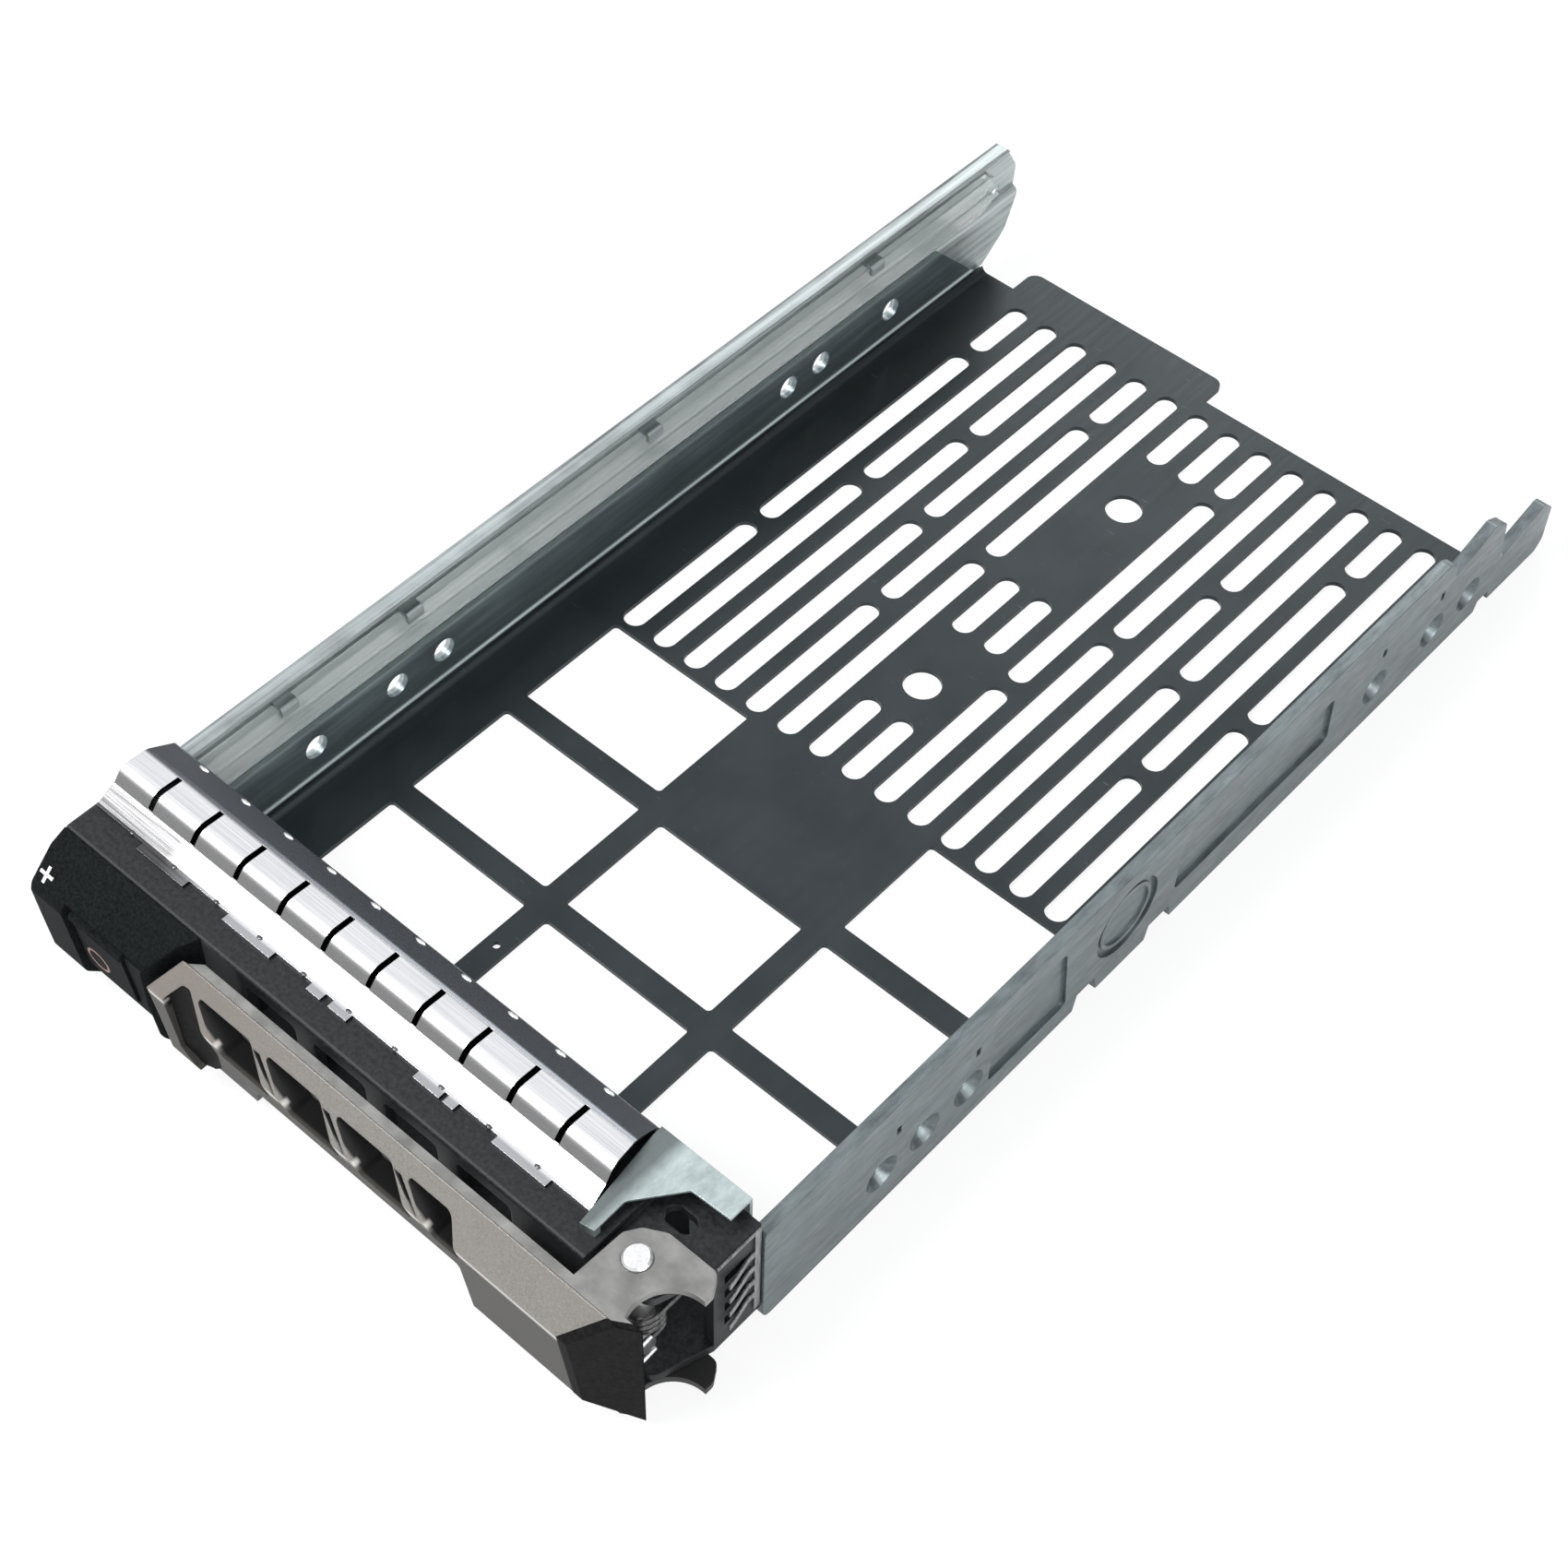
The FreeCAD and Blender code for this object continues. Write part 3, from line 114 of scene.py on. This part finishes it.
class Shader(Nodes):
    """A material; its places and normals are the piece's own, so that they stay with it at every pose."""

    def __init__(self, name):
        self.material = bpy.data.materials.new(name)
        self.material.use_nodes = True
        super().__init__(self.material.node_tree)
        self.bsdf = self.tree.nodes["Principled BSDF"]
        self.frame = self.add("ShaderNodeTexCoord")
        self.place = self.frame.outputs["Object"]

    def scaled(self, x, y, z):
        """Place on the piece, stretched by a factor along each axis."""
        node = self.add("ShaderNodeVectorMath", operation="MULTIPLY")
        self.put(node.inputs[0], self.place)
        node.inputs[1].default_value = (x, y, z)
        return node.outputs[0]

    def noise(self, vector, detail, rough=0.55):
        node = self.add("ShaderNodeTexNoise")
        settings = (("Vector", vector), ("Scale", 1.0), ("Detail", detail), ("Roughness", rough))
        for key, value in settings:
            self.put(node.inputs[key], value)
        return node.outputs["Fac"]

    def axis(self, name):
        """Place along an axis of the piece, in metres."""
        return self.split(self.place, name)

    def facing(self, name):
        """Component of the surface normal along an axis of the piece."""
        return self.split(self.frame.outputs["Normal"], name)

    def bump(self, height, distance, strength=1.0, edge=0.0):
        """Relief from a height value, over edges that are softened by a radius."""
        node = self.add("ShaderNodeBump")
        for key, value in (("Strength", strength), ("Distance", distance), ("Height", height)):
            self.put(node.inputs[key], value)
        if edge:
            bevel = self.add("ShaderNodeBevel", samples=4)
            self.put(bevel.inputs["Radius"], edge)
            self.put(node.inputs["Normal"], bevel.outputs[0])
        self.put(self.bsdf.inputs["Normal"], node.outputs[0])

    def set(self, **values):
        """Writes the shader's own sockets, named with underscores for spaces."""
        for key, value in values.items():
            self.put(self.bsdf.inputs[key.replace("_", " ")], value)


# ---------------------------------------------------------------- finishes

# where a finish changes along an axis of the piece: the start and the end of the change, in metres
FLOOR_REAR_Y = (0.02, 0.11)
FLOOR_TO_WALL_Z = (0.0004, 0.0016)
WALL_Z = (0.0, 0.0122)
BEND_LOW_Z = (0.0015, 0.0018)
BEND_HIGH_Z = (0.0022, 0.0025)
BRACKET_SHADE_X = (0.0390, 0.0410)
STRIP_TAB_Y = (-0.0759, -0.0755)
STRIP_LIP_Y = (-0.0726, -0.0722)
STRIP_REAR_Y = (-0.0668, -0.0663)
STRIP_REAR_Z = (0.0238, 0.0243)
STRIP_LEFT_X = (-0.040, -0.026)
GRIP_LEFT_X = (-0.026, 0.004)
GRIP_FACE_Y = (-0.0876, -0.0872)
GRIP_NOSE_Y = (-0.0872, -0.0868)
GRIP_UPPER_Z = (0.0168, 0.0175)
VENT_BOTTOM_Z = (0.0160, 0.0164)
VENT_TOP_Z = (0.0212, 0.0219)
NOSE_BOTTOM_Z = (0.0172, 0.0175)
NOSE_TOP_Z = (0.0177, 0.0180)
GRIP_RIM_Z = (0.0241, 0.0244)
LEVER_TOP_Z = (0.0224, 0.0226)
FADE_OUT = (1.0, 0.0)


def dark_sheet():
    """Zinc plated sheet with painted reflections: the floor dark, and darker towards its rear, the walls lighter,
    with a painted highlight in a band at the foot of the walls and a lighter band at their top.
    """
    s = Shader("zinc_sheet")
    streaks = s.noise(s.scaled(900, 45, 900), detail=5, rough=0.65)
    clouds = s.noise(s.scaled(60, 60, 60), detail=3)
    # painted reflection: the floor is drawn far darker than the walls of the same sheet, and darker still towards
    # its rear
    floor = s.ramp(clouds, (0.25, (0.026, 0.033, 0.035)), (0.75, (0.042, 0.050, 0.053)))
    floor = s.mix(s.span(s.axis("Y"), *FLOOR_REAR_Y, 0.0, 0.55), floor, (0.018, 0.021, 0.023))
    # painted highlight: a bright band low on the walls, just above the floor, and a lighter band at their top
    wall = s.ramp(s.span(s.axis("Z"), *WALL_Z),
                  (0.10, (0.05, 0.065, 0.068)), (0.145, (0.66, 0.76, 0.76)), (0.19, (0.60, 0.69, 0.69)),
                  (0.24, (0.19, 0.23, 0.24)), (0.88, (0.13, 0.165, 0.18)), (0.97, (0.42, 0.48, 0.49)))
    wall = s.mix(s.span(streaks, 0.42, 0.66, 0.0, 0.5), wall, (0.27, 0.33, 0.34))
    colour = s.mix(s.span(s.axis("Z"), *FLOOR_TO_WALL_Z), floor, wall)
    scratch = s.noise(s.scaled(260, 2400, 200), detail=2)
    colour = s.mix(s.span(scratch, 0.70, 0.78, 0.0, 0.35), colour, (0.16, 0.18, 0.18))
    # the band at the foot of the walls is made less metallic, so that its painted highlight shows as colour
    bend_highlight = s.math("MULTIPLY", s.span(s.axis("Z"), *BEND_LOW_Z), s.span(s.axis("Z"), *BEND_HIGH_Z, *FADE_OUT))
    s.set(Base_Color=colour, Metallic=s.span(bend_highlight, 0.0, 1.0, 0.85, 0.1),
          Roughness=s.span(streaks, 0.2, 0.8, 0.30, 0.46))
    s.bump(streaks, 0.00003, 0.35)
    return s.material


def bright_zinc(name, tone, mottling, stretch, shade=None):
    """Plated zinc, mottled and streaked along its length; shade is where a painted shade along X fades from dim to
    full.
    """
    s = Shader(name)
    streaks = s.noise(s.scaled(900, stretch, 900), detail=7, rough=0.7)
    mottle = s.noise(s.scaled(160, 160, 160), detail=4)
    dark = tuple(c * (1 - mottling) for c in tone)
    light = tuple(min(1.0, c * (1 + mottling * 0.8)) for c in tone)
    colour = s.ramp(streaks, (0.34, dark), (0.52, tone), (0.66, light))
    colour = s.mix(s.span(mottle, 0.35, 0.7, 0.0, 0.4), colour, light)
    if shade:
        # painted shade: darker below the start of shade along X
        colour = s.mix(s.span(s.axis("X"), *shade, 0.8, 0.0), colour, tuple(c * 0.2 for c in tone))
    s.set(Base_Color=colour, Metallic=0.75, Roughness=s.span(mottle, 0.2, 0.8, 0.30, 0.52))
    s.bump(streaks, 0.00006, 0.5, 0.0002)
    return s.material


def spring_sheet():
    """Bright stainless strip, drawn along its length: darker on its front tabs, with painted shade on its sharply
    sloped faces behind the front lip and on its cut ends, and a dark painted reflection on its rear slope and on the
    left of its front lip."""
    s = Shader("spring_sheet")
    lines = s.noise(s.scaled(60, 5200, 5200), detail=4)
    colour = s.ramp(lines, (0.3, (0.62, 0.63, 0.63)), (0.7, (0.86, 0.87, 0.87)))
    lip = s.span(s.axis("Y"), *STRIP_LIP_Y, *FADE_OUT)
    # painted shade on the sharply sloped faces behind the front lip
    steep_shade = s.span(s.facing("Y"), -0.70, -0.30, *FADE_OUT)
    colour = s.mix(s.math("MULTIPLY", steep_shade, s.math("SUBTRACT", 1.0, lip)), colour, (0.34, 0.34, 0.335))
    # painted reflection: the rear slope is drawn dark
    rear = s.math("MULTIPLY", s.span(s.axis("Y"), *STRIP_REAR_Y), s.span(s.axis("Z"), *STRIP_REAR_Z))
    colour = s.mix(rear, colour, (0.135, 0.145, 0.160))
    tab = s.span(s.axis("Y"), *STRIP_TAB_Y, *FADE_OUT)
    colour = s.mix(s.math("MULTIPLY", tab, 0.8), colour, (0.33, 0.34, 0.35))
    # painted shade: the cut ends, facing sideways, are drawn near black
    side = s.span(s.math("ABSOLUTE", s.facing("X")), 0.6, 0.8)
    colour = s.mix(side, colour, (0.02, 0.02, 0.021))
    # painted reflection: the left of the front lip is drawn dark
    left = s.math("MULTIPLY", s.span(s.axis("X"), *STRIP_LEFT_X, *FADE_OUT), lip)
    colour = s.mix(left, colour, s.ramp(lines, (0.35, (0.04, 0.04, 0.04)), (0.6, (0.13, 0.13, 0.132))))
    s.set(Base_Color=colour, Metallic=0.95, Roughness=0.26)
    s.bump(lines, 0.00002, 0.2, 0.0001)
    return s.material


def moulded_black(name, tone, grain, relief, rough, shine):
    """Black plastic with a spark-eroded grain."""
    s = Shader(name)
    fine = s.noise(s.scaled(grain, grain, grain), detail=6, rough=0.7)
    wide = s.noise(s.scaled(90, 90, 90), detail=2)
    colour = s.ramp(fine, (0.36, tuple(c * 0.45 for c in tone)), (0.66, tuple(c * 2.1 for c in tone)))
    colour = s.mix(s.span(wide, 0.3, 0.7, 0.0, 0.3), colour, tuple(c * 1.25 for c in tone))
    s.set(Base_Color=colour, Roughness=s.span(fine, 0.2, 0.8, rough - 0.08, rough + 0.10),
          Specular_IOR_Level=shine)
    s.bump(fine, relief, 0.7, 0.0003)
    return s.material


def grip_paint():
    """Warm titanium grey paint, browner towards the left, with a painted highlight along the nose and the top edge,
    and painted shade below the nose and on the inner walls of the vents."""
    s = Shader("grip_paint")
    flakes = s.noise(s.scaled(4200, 4200, 4200), detail=2)
    soft = s.noise(s.scaled(120, 120, 120), detail=3)
    colour = s.ramp(flakes, (0.3, (0.155, 0.148, 0.136)), (0.7, (0.245, 0.233, 0.214)))
    colour = s.mix(s.span(soft, 0.3, 0.7, 0.0, 0.5), colour, (0.215, 0.196, 0.174))
    brown = s.span(s.axis("X"), *GRIP_LEFT_X, 0.55, 0.0)
    colour = s.mix(brown, colour, (0.165, 0.138, 0.122))
    # painted shade: below the nose the paint is drawn near black, and further down it is made matt and not metallic
    below = s.span(s.axis("Z"), *GRIP_UPPER_Z, 0.92, 0.0)
    colour = s.mix(below, colour, (0.036, 0.035, 0.031))
    # painted shade on the inner walls of the vents
    level = s.math("MULTIPLY", s.span(s.axis("Z"), *VENT_BOTTOM_Z), s.span(s.axis("Z"), *VENT_TOP_Z, *FADE_OUT))
    wall = s.span(s.math("ABSOLUTE", s.facing("Y")), 0.25, 0.35, *FADE_OUT)
    within = s.span(s.axis("Y"), *GRIP_FACE_Y)
    colour = s.mix(s.math("MULTIPLY", s.math("MULTIPLY", level, wall), within), colour, (0.010, 0.010, 0.010))
    # painted highlight along the top edge, on its upward faces
    rim_highlight = s.math("MULTIPLY", s.span(s.axis("Z"), *GRIP_RIM_Z), s.span(s.facing("Z"), 0.75, 0.95))
    colour = s.mix(rim_highlight, colour, (0.80, 0.79, 0.77))
    # painted highlight along the nose
    nose = s.math("MULTIPLY", s.span(s.axis("Z"), *NOSE_BOTTOM_Z), s.span(s.axis("Z"), *NOSE_TOP_Z, *FADE_OUT))
    nose = s.math("MULTIPLY", nose, s.span(s.axis("Y"), *GRIP_NOSE_Y, 0.7, 0.0))
    colour = s.mix(nose, colour, (0.62, 0.60, 0.57))
    open_air = s.math("SUBTRACT", 1.0, below)
    s.set(Base_Color=colour, Metallic=s.math("MULTIPLY", open_air, 0.55), Roughness=0.38,
          Specular_IOR_Level=s.math("MULTIPLY", open_air, 0.5))
    s.bump(flakes, 0.00001, 0.25, 0.0003)
    return s.material


def cast_grey():
    """Bare die-cast metal of the lever, with painted shade below its top: black and not metallic there."""
    s = Shader("cast_grey")
    cloud = s.noise(s.scaled(300, 300, 300), detail=5)
    colour = s.ramp(cloud, (0.3, (0.17, 0.17, 0.163)), (0.7, (0.27, 0.27, 0.258)))
    # painted shade: below its top the lever is drawn black, for the dark inside of the handle
    black = s.span(s.axis("Z"), *LEVER_TOP_Z, *FADE_OUT)
    colour = s.mix(black, colour, (0.012, 0.012, 0.012))
    s.set(Base_Color=colour, Metallic=s.math("MULTIPLY", s.math("SUBTRACT", 1.0, black), 0.8),
          Roughness=s.span(cloud, 0.2, 0.8, 0.34, 0.50))
    s.bump(cloud, 0.00004, 0.4, 0.0002)
    return s.material


def clear_acrylic():
    """Clear light pipe with a faint green tone."""
    s = Shader("clear_acrylic")
    waves = s.noise(s.scaled(500, 40, 500), detail=2)
    colour = s.ramp(waves, (0.3, (0.78, 0.84, 0.83)), (0.7, (0.93, 0.96, 0.95)))
    s.set(Base_Color=colour, Roughness=0.16, Transmission_Weight=0.75, IOR=1.49)
    s.bump(waves, 0.00004, 0.4, 0.0002)
    return s.material


def polished_steel(name, low, high):
    """Polished steel, its grey between low and high."""
    s = Shader(name)
    rings = s.noise(s.scaled(2600, 2600, 300), detail=3)
    colour = s.ramp(rings, (0.3, (low, low, low)), (0.7, (high, high, high)))
    s.set(Base_Color=colour, Metallic=0.9, Roughness=0.28)
    s.bump(rings, 0.00002, 0.3, 0.0002)
    return s.material


def copper_ink():
    """Worn copper print of the button's ring."""
    s = Shader("copper_ink")
    speck = s.noise(s.scaled(3000, 3000, 3000), detail=3)
    colour = s.ramp(speck, (0.3, (0.10, 0.045, 0.03)), (0.7, (0.24, 0.12, 0.085)))
    s.set(Base_Color=colour, Metallic=0.3, Roughness=0.45)
    return s.material


def white_ink():
    """Pale print of the plus mark."""
    s = Shader("white_ink")
    speck = s.noise(s.scaled(3000, 3000, 3000), detail=3)
    colour = s.ramp(speck, (0.25, (0.55, 0.51, 0.50)), (0.65, (0.86, 0.83, 0.82)))
    s.set(Base_Color=colour, Roughness=0.5)
    return s.material


sheet = dark_sheet()
left_zinc = bright_zinc("left_zinc", (0.34, 0.375, 0.375), 0.60, 14)
right_zinc = bright_zinc("right_zinc", (0.135, 0.158, 0.163), 0.40, 160)
# the bracket carries a painted shade on its left, next to the end of the strip
bracket_zinc = bright_zinc("bracket_zinc", (0.38, 0.44, 0.435), 0.22, 400, BRACKET_SHADE_X)
spring = spring_sheet()
smooth_black = moulded_black("smooth_black", (0.010, 0.011, 0.012), 1500, 0.00001, 0.46, 0.24)
grained_black = moulded_black("grained_black", (0.0062, 0.0074, 0.0077), 2300, 0.00005, 0.60, 0.02)
deep_black = moulded_black("deep_black", (0.0068, 0.0068, 0.0068), 1500, 0.00001, 0.6, 0.03)
paint = grip_paint()
cast = cast_grey()
acrylic = clear_acrylic()
steel = polished_steel("bright_steel", 0.70, 0.90)
# a dark copy of the polished steel: painted shade for the return spring in the lever's dark throat; the front pips
# are drawn in it too
dark_steel = polished_steel("dark_steel", 0.05, 0.16)
clip_steel = polished_steel("clip_steel", 0.10, 0.34)
copper = copper_ink()
white = white_ink()

FINISHES = {
    "tray": sheet, "tray_left_wall": sheet, "tray_right_wall": sheet,
    "left_rail": left_zinc, "right_rail": right_zinc, "emi_corner_bracket": bracket_zinc,
    "emi_top_strip": spring, "emi_side_fingers": clip_steel,
    "latch_spring": steel, "torsion_spring": dark_steel, "pivot_pin": steel, "bezel_screws": steel,
    "bezel_body": smooth_black, "bezel_cap": grained_black, "release_button": grained_black,
    "finger_pad": deep_black, "handle_end_cap": deep_black, "latch_slider": deep_black, "latch_housing": deep_black,
    "handle_cover": paint, "handle_lever": cast,
    "status_light_pipe": acrylic, "activity_light_pipe": acrylic,
}
for name, finish in FINISHES.items():
    mesh = nodes[name].data
    mesh.materials.clear()
    mesh.materials.append(finish)


# ---------------------------------------------------------------- added pieces, all in millimetres

# under and upper side of a printed mark, from the face it is on
MARK_LAYER = (-0.02, 0.03)
# start and heading of the line that finds each mark's place on its piece
PLUS_SIGHT = ((-52.2, -100, 34.3), (0, 1, -1))
RING_SIGHT = ((-43.6, -100, 9.6), (0, 1, 0))
PLUS_ARM, PLUS_HALF_WIDTH = 1.25, 0.25
RING_OUTER, RING_INNER = 2.2, 1.75
# a pip stands beside each gap of the strip, and its place is found by a line from above
PIP_COUNT, PIP_PITCH, PIP_SIDES = 10, 8.34, 16
PIP_RINGS = ((1.0, -0.05), (0.85, 0.10), (0.5, 0.17))       # size and height of each ring of a pip
ABOVE_STRIP = 60
# rear and front end of each wire
WIRES = (((49.6, -77.9, 11.5), (49.6, -82.6, 10.9)), ((49.6, -77.2, 7.4), (49.6, -81.8, 7.0)))
WIRE_RADIUS, WIRE_SIDES = 0.3, 14


def add_mesh(name, build, material, body):
    """A piece built by a function that fills a bmesh in millimetres."""
    bm = bmesh.new()
    build(bm)
    bmesh.ops.scale(bm, vec=(MM, MM, MM), verts=bm.verts)
    bmesh.ops.recalc_face_normals(bm, faces=bm.faces)
    data = bpy.data.meshes.new(name)
    bm.to_mesh(data)
    bm.free()
    data.materials.append(material)
    piece = bpy.data.objects.new(name, data)
    bpy.context.scene.collection.objects.link(piece)
    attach(piece, body)
    return piece


def surface_at(node, start, heading):
    """Point and normal where a line from start, in mm, first meets a CAD node."""
    points = [node.matrix_world @ vertex.co for vertex in node.data.vertices]
    tree = BVHTree.FromPolygons(points, [tuple(face.vertices) for face in node.data.polygons])
    place, normal, _, _ = tree.ray_cast(Vector(start) * MM, Vector(heading).normalized())
    return place / MM, normal


def on_plane(place, normal):
    """Maps (along x, up the slope, off the face) to a point in mm."""
    across = Vector((1, 0, 0))
    across = (across - normal * across.dot(normal)).normalized()
    upward = normal.cross(across)
    return lambda u, v, w: place + across * u + upward * v + normal * w


def band(bm, first, second):
    """A strip of faces between two closed rows of points."""
    count = len(first)
    for i in range(count):
        j = (i + 1) % count
        bm.faces.new((first[i], first[j], second[j], second[i]))


def slab(bm, to_point, outline, hole=None):
    """A thin printed mark; a hole needs as many points as its outline."""
    low, high = MARK_LAYER
    under = [bm.verts.new(to_point(u, v, low)) for u, v in outline]
    over = [bm.verts.new(to_point(u, v, high)) for u, v in outline]
    band(bm, under, over)
    if hole is None:
        bm.faces.new(over)
        bm.faces.new(under[::-1])
        return
    under_in = [bm.verts.new(to_point(u, v, low)) for u, v in hole]
    over_in = [bm.verts.new(to_point(u, v, high)) for u, v in hole]
    band(bm, over, over_in)
    band(bm, over_in, under_in)
    band(bm, under_in, under)


def circle(radius, count=48):
    return [(radius * math.cos(2 * math.pi * i / count), radius * math.sin(2 * math.pi * i / count))
            for i in range(count)]


def plus_mark():
    """A plain plus on the cap's slope."""
    to_point = on_plane(*surface_at(nodes["bezel_cap"], *PLUS_SIGHT))
    long, thin = PLUS_ARM, PLUS_HALF_WIDTH
    outline = [(-long, -thin), (-thin, -thin), (-thin, -long), (thin, -long), (thin, -thin), (long, -thin),
               (long, thin), (thin, thin), (thin, long), (-thin, long), (-thin, thin), (-long, thin)]
    add_mesh("plus_mark", lambda bm: slab(bm, to_point, outline), white, "caddy")


def button_ring():
    """A plain ring on the button's face."""
    to_point = on_plane(*surface_at(nodes["release_button"], *RING_SIGHT))
    add_mesh("button_ring", lambda bm: slab(bm, to_point, circle(RING_OUTER), circle(RING_INNER)),
             copper, "button")


def finger_pips(name, first, y, wide, deep, material):
    """Small formed pads along the strip, one beside each gap between its fingers."""
    def build(bm):
        for i in range(PIP_COUNT):
            start = (first + PIP_PITCH * i, y, ABOVE_STRIP)
            to_point = on_plane(*surface_at(nodes["emi_top_strip"], start, (0, 0, -1)))
            rings = [[bm.verts.new(to_point(u * wide * size, v * deep * size, height))
                      for u, v in circle(1, PIP_SIDES)] for size, height in PIP_RINGS]
            for lower, upper in zip(rings, rings[1:]):
                band(bm, lower, upper)
            bm.faces.new(rings[-1])
            bm.faces.new(rings[0][::-1])
    add_mesh(name, build, material, "caddy")


def throat_wires():
    """The two bright ends of the return spring in the lever's throat."""
    def build(bm):
        for wire in WIRES:
            rear, front = (Vector(end) for end in wire)
            along = (front - rear).normalized()
            side = along.cross(Vector((0, 0, 1))).normalized()
            top = side.cross(along)
            ends = [[bm.verts.new(point + side * u + top * v) for u, v in circle(WIRE_RADIUS, WIRE_SIDES)]
                    for point in (rear, front)]
            band(bm, *ends)
            bm.faces.new(ends[1])
            bm.faces.new(ends[0][::-1])
    add_mesh("throat_wires", build, steel, "handle")


plus_mark()
button_ring()
finger_pips("front_pips", -46.3, -75.45, 0.5, 0.35, dark_steel)
finger_pips("rear_pips", -46.9, -62.4, 0.95, 0.38, steel)
throat_wires()


# ---------------------------------------------------------------- studio

FLOOR_REACH = 6.0
FLOOR_CLEARANCE = 0.00005
FLOOR_GLOW = 0.86
FLOOR_GLOSS_SHARE = 0.40
WHITE = (1.0, 1.0, 1.0)
ROOM_GREY = (0.62, 0.64, 0.66)
ROOM_BLUE = 1.02
LAMP_ASPECT = 0.7
LAMP_AIM = (0, 0.02, 0)


def stage_floor():
    """A pale floor that is white to the camera and keeps the object's shadow."""
    low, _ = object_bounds()
    data = bpy.data.meshes.new("studio_floor")
    corners = [(x * FLOOR_REACH, y * FLOOR_REACH, 0) for x, y in ((-1, -1), (1, -1), (1, 1), (-1, 1))]
    data.from_pydata(corners, [], [(0, 1, 2, 3)])
    floor = bpy.data.objects.new("studio_floor", data)
    floor.location.z = low[2] - FLOOR_CLEARANCE
    bpy.context.scene.collection.objects.link(floor)
    s = Shader("studio_floor")
    s.set(Base_Color=(0.90, 0.90, 0.90), Roughness=0.9)
    glow = s.add("ShaderNodeEmission")
    s.put(glow.inputs["Color"], WHITE)
    rays = s.add("ShaderNodeLightPath")
    seen = s.math("MAXIMUM", rays.outputs["Is Camera Ray"], rays.outputs["Is Transmission Ray"])
    seen = s.math("ADD", seen, s.math("MULTIPLY", rays.outputs["Is Glossy Ray"], FLOOR_GLOSS_SHARE))
    blend = s.add("ShaderNodeMixShader")
    for index, value in enumerate((s.math("MULTIPLY", seen, FLOOR_GLOW), s.bsdf.outputs[0], glow.outputs[0])):
        s.put(blend.inputs[index], value)
    s.put(s.tree.nodes["Material Output"].inputs["Surface"], blend.outputs[0])
    data.materials.append(s.material)


def studio_world():
    """White to the camera, even grey as light, and a room to reflections: white overhead, grey below and in
    front, and dim towards the back wall."""
    world = bpy.data.worlds.new("studio")
    bpy.context.scene.world = world
    world.use_nodes = True
    w = Nodes(world.node_tree)
    rays = w.add("ShaderNodeLightPath")
    seen = w.math("MAXIMUM", rays.outputs["Is Camera Ray"], rays.outputs["Is Transmission Ray"])
    heading = w.add("ShaderNodeTexCoord").outputs["Generated"]

    def across(axis, low, high, *levels):
        stops = [(position, (level, level, level * ROOM_BLUE)) for position, level in levels]
        return w.ramp(w.span(w.split(heading, axis), low, high), *stops)

    height = across("Z", 0.0, 1.0, (0.0, 0.55), (0.30, 0.62), (0.62, 1.0), (1.0, 1.12))
    back = across("Y", 0.45, 0.85, (0.0, 1.0), (1.0, 0.14))
    room = w.mix(1.0, height, back, "MULTIPLY")
    light = w.mix(rays.outputs["Is Glossy Ray"], ROOM_GREY, room)
    w.put(w.tree.nodes["Background"].inputs["Color"], w.mix(seen, light, WHITE))


def soft_light(name, place, power, size=0.5):
    """A rectangular lamp that faces the object, with its place and size in metres and its power in watts."""
    data = bpy.data.lights.new(name, "AREA")
    data.shape = "RECTANGLE"
    data.size = size
    data.size_y = size * LAMP_ASPECT
    data.energy = power
    lamp = bpy.data.objects.new(name, data)
    lamp.location = place
    lamp.rotation_euler = (Vector(LAMP_AIM) - Vector(place)).to_track_quat("-Z", "Y").to_euler()
    bpy.context.scene.collection.objects.link(lamp)


def camera():
    """Seen from the front right and above."""
    data = bpy.data.cameras.new("camera")
    data.sensor_width = 36.0
    data.lens = 63.81
    view = bpy.data.objects.new("camera", data)
    place = Vector((0.1616, -0.1890, 0.3160))
    right = Vector((0.74624, 0.66535, 0.02105))
    down = Vector((0.52994, -0.57463, -0.62367))
    ahead = Vector((-0.40286, 0.47656, -0.78140))
    turn = Matrix((right, -down, -ahead)).transposed()
    view.matrix_world = Matrix.Translation(place) @ turn.to_4x4()
    bpy.context.scene.collection.objects.link(view)
    bpy.context.scene.camera = view


stage_floor()
studio_world()
soft_light("key", (-0.35, -0.45, 0.75), 9.0)
soft_light("fill", (0.7, -0.2, 0.5), 4.0)
soft_light("rear", (-0.3, 0.8, 0.5), 3.0)
camera()
bpy.context.scene.view_settings.view_transform = "Standard"
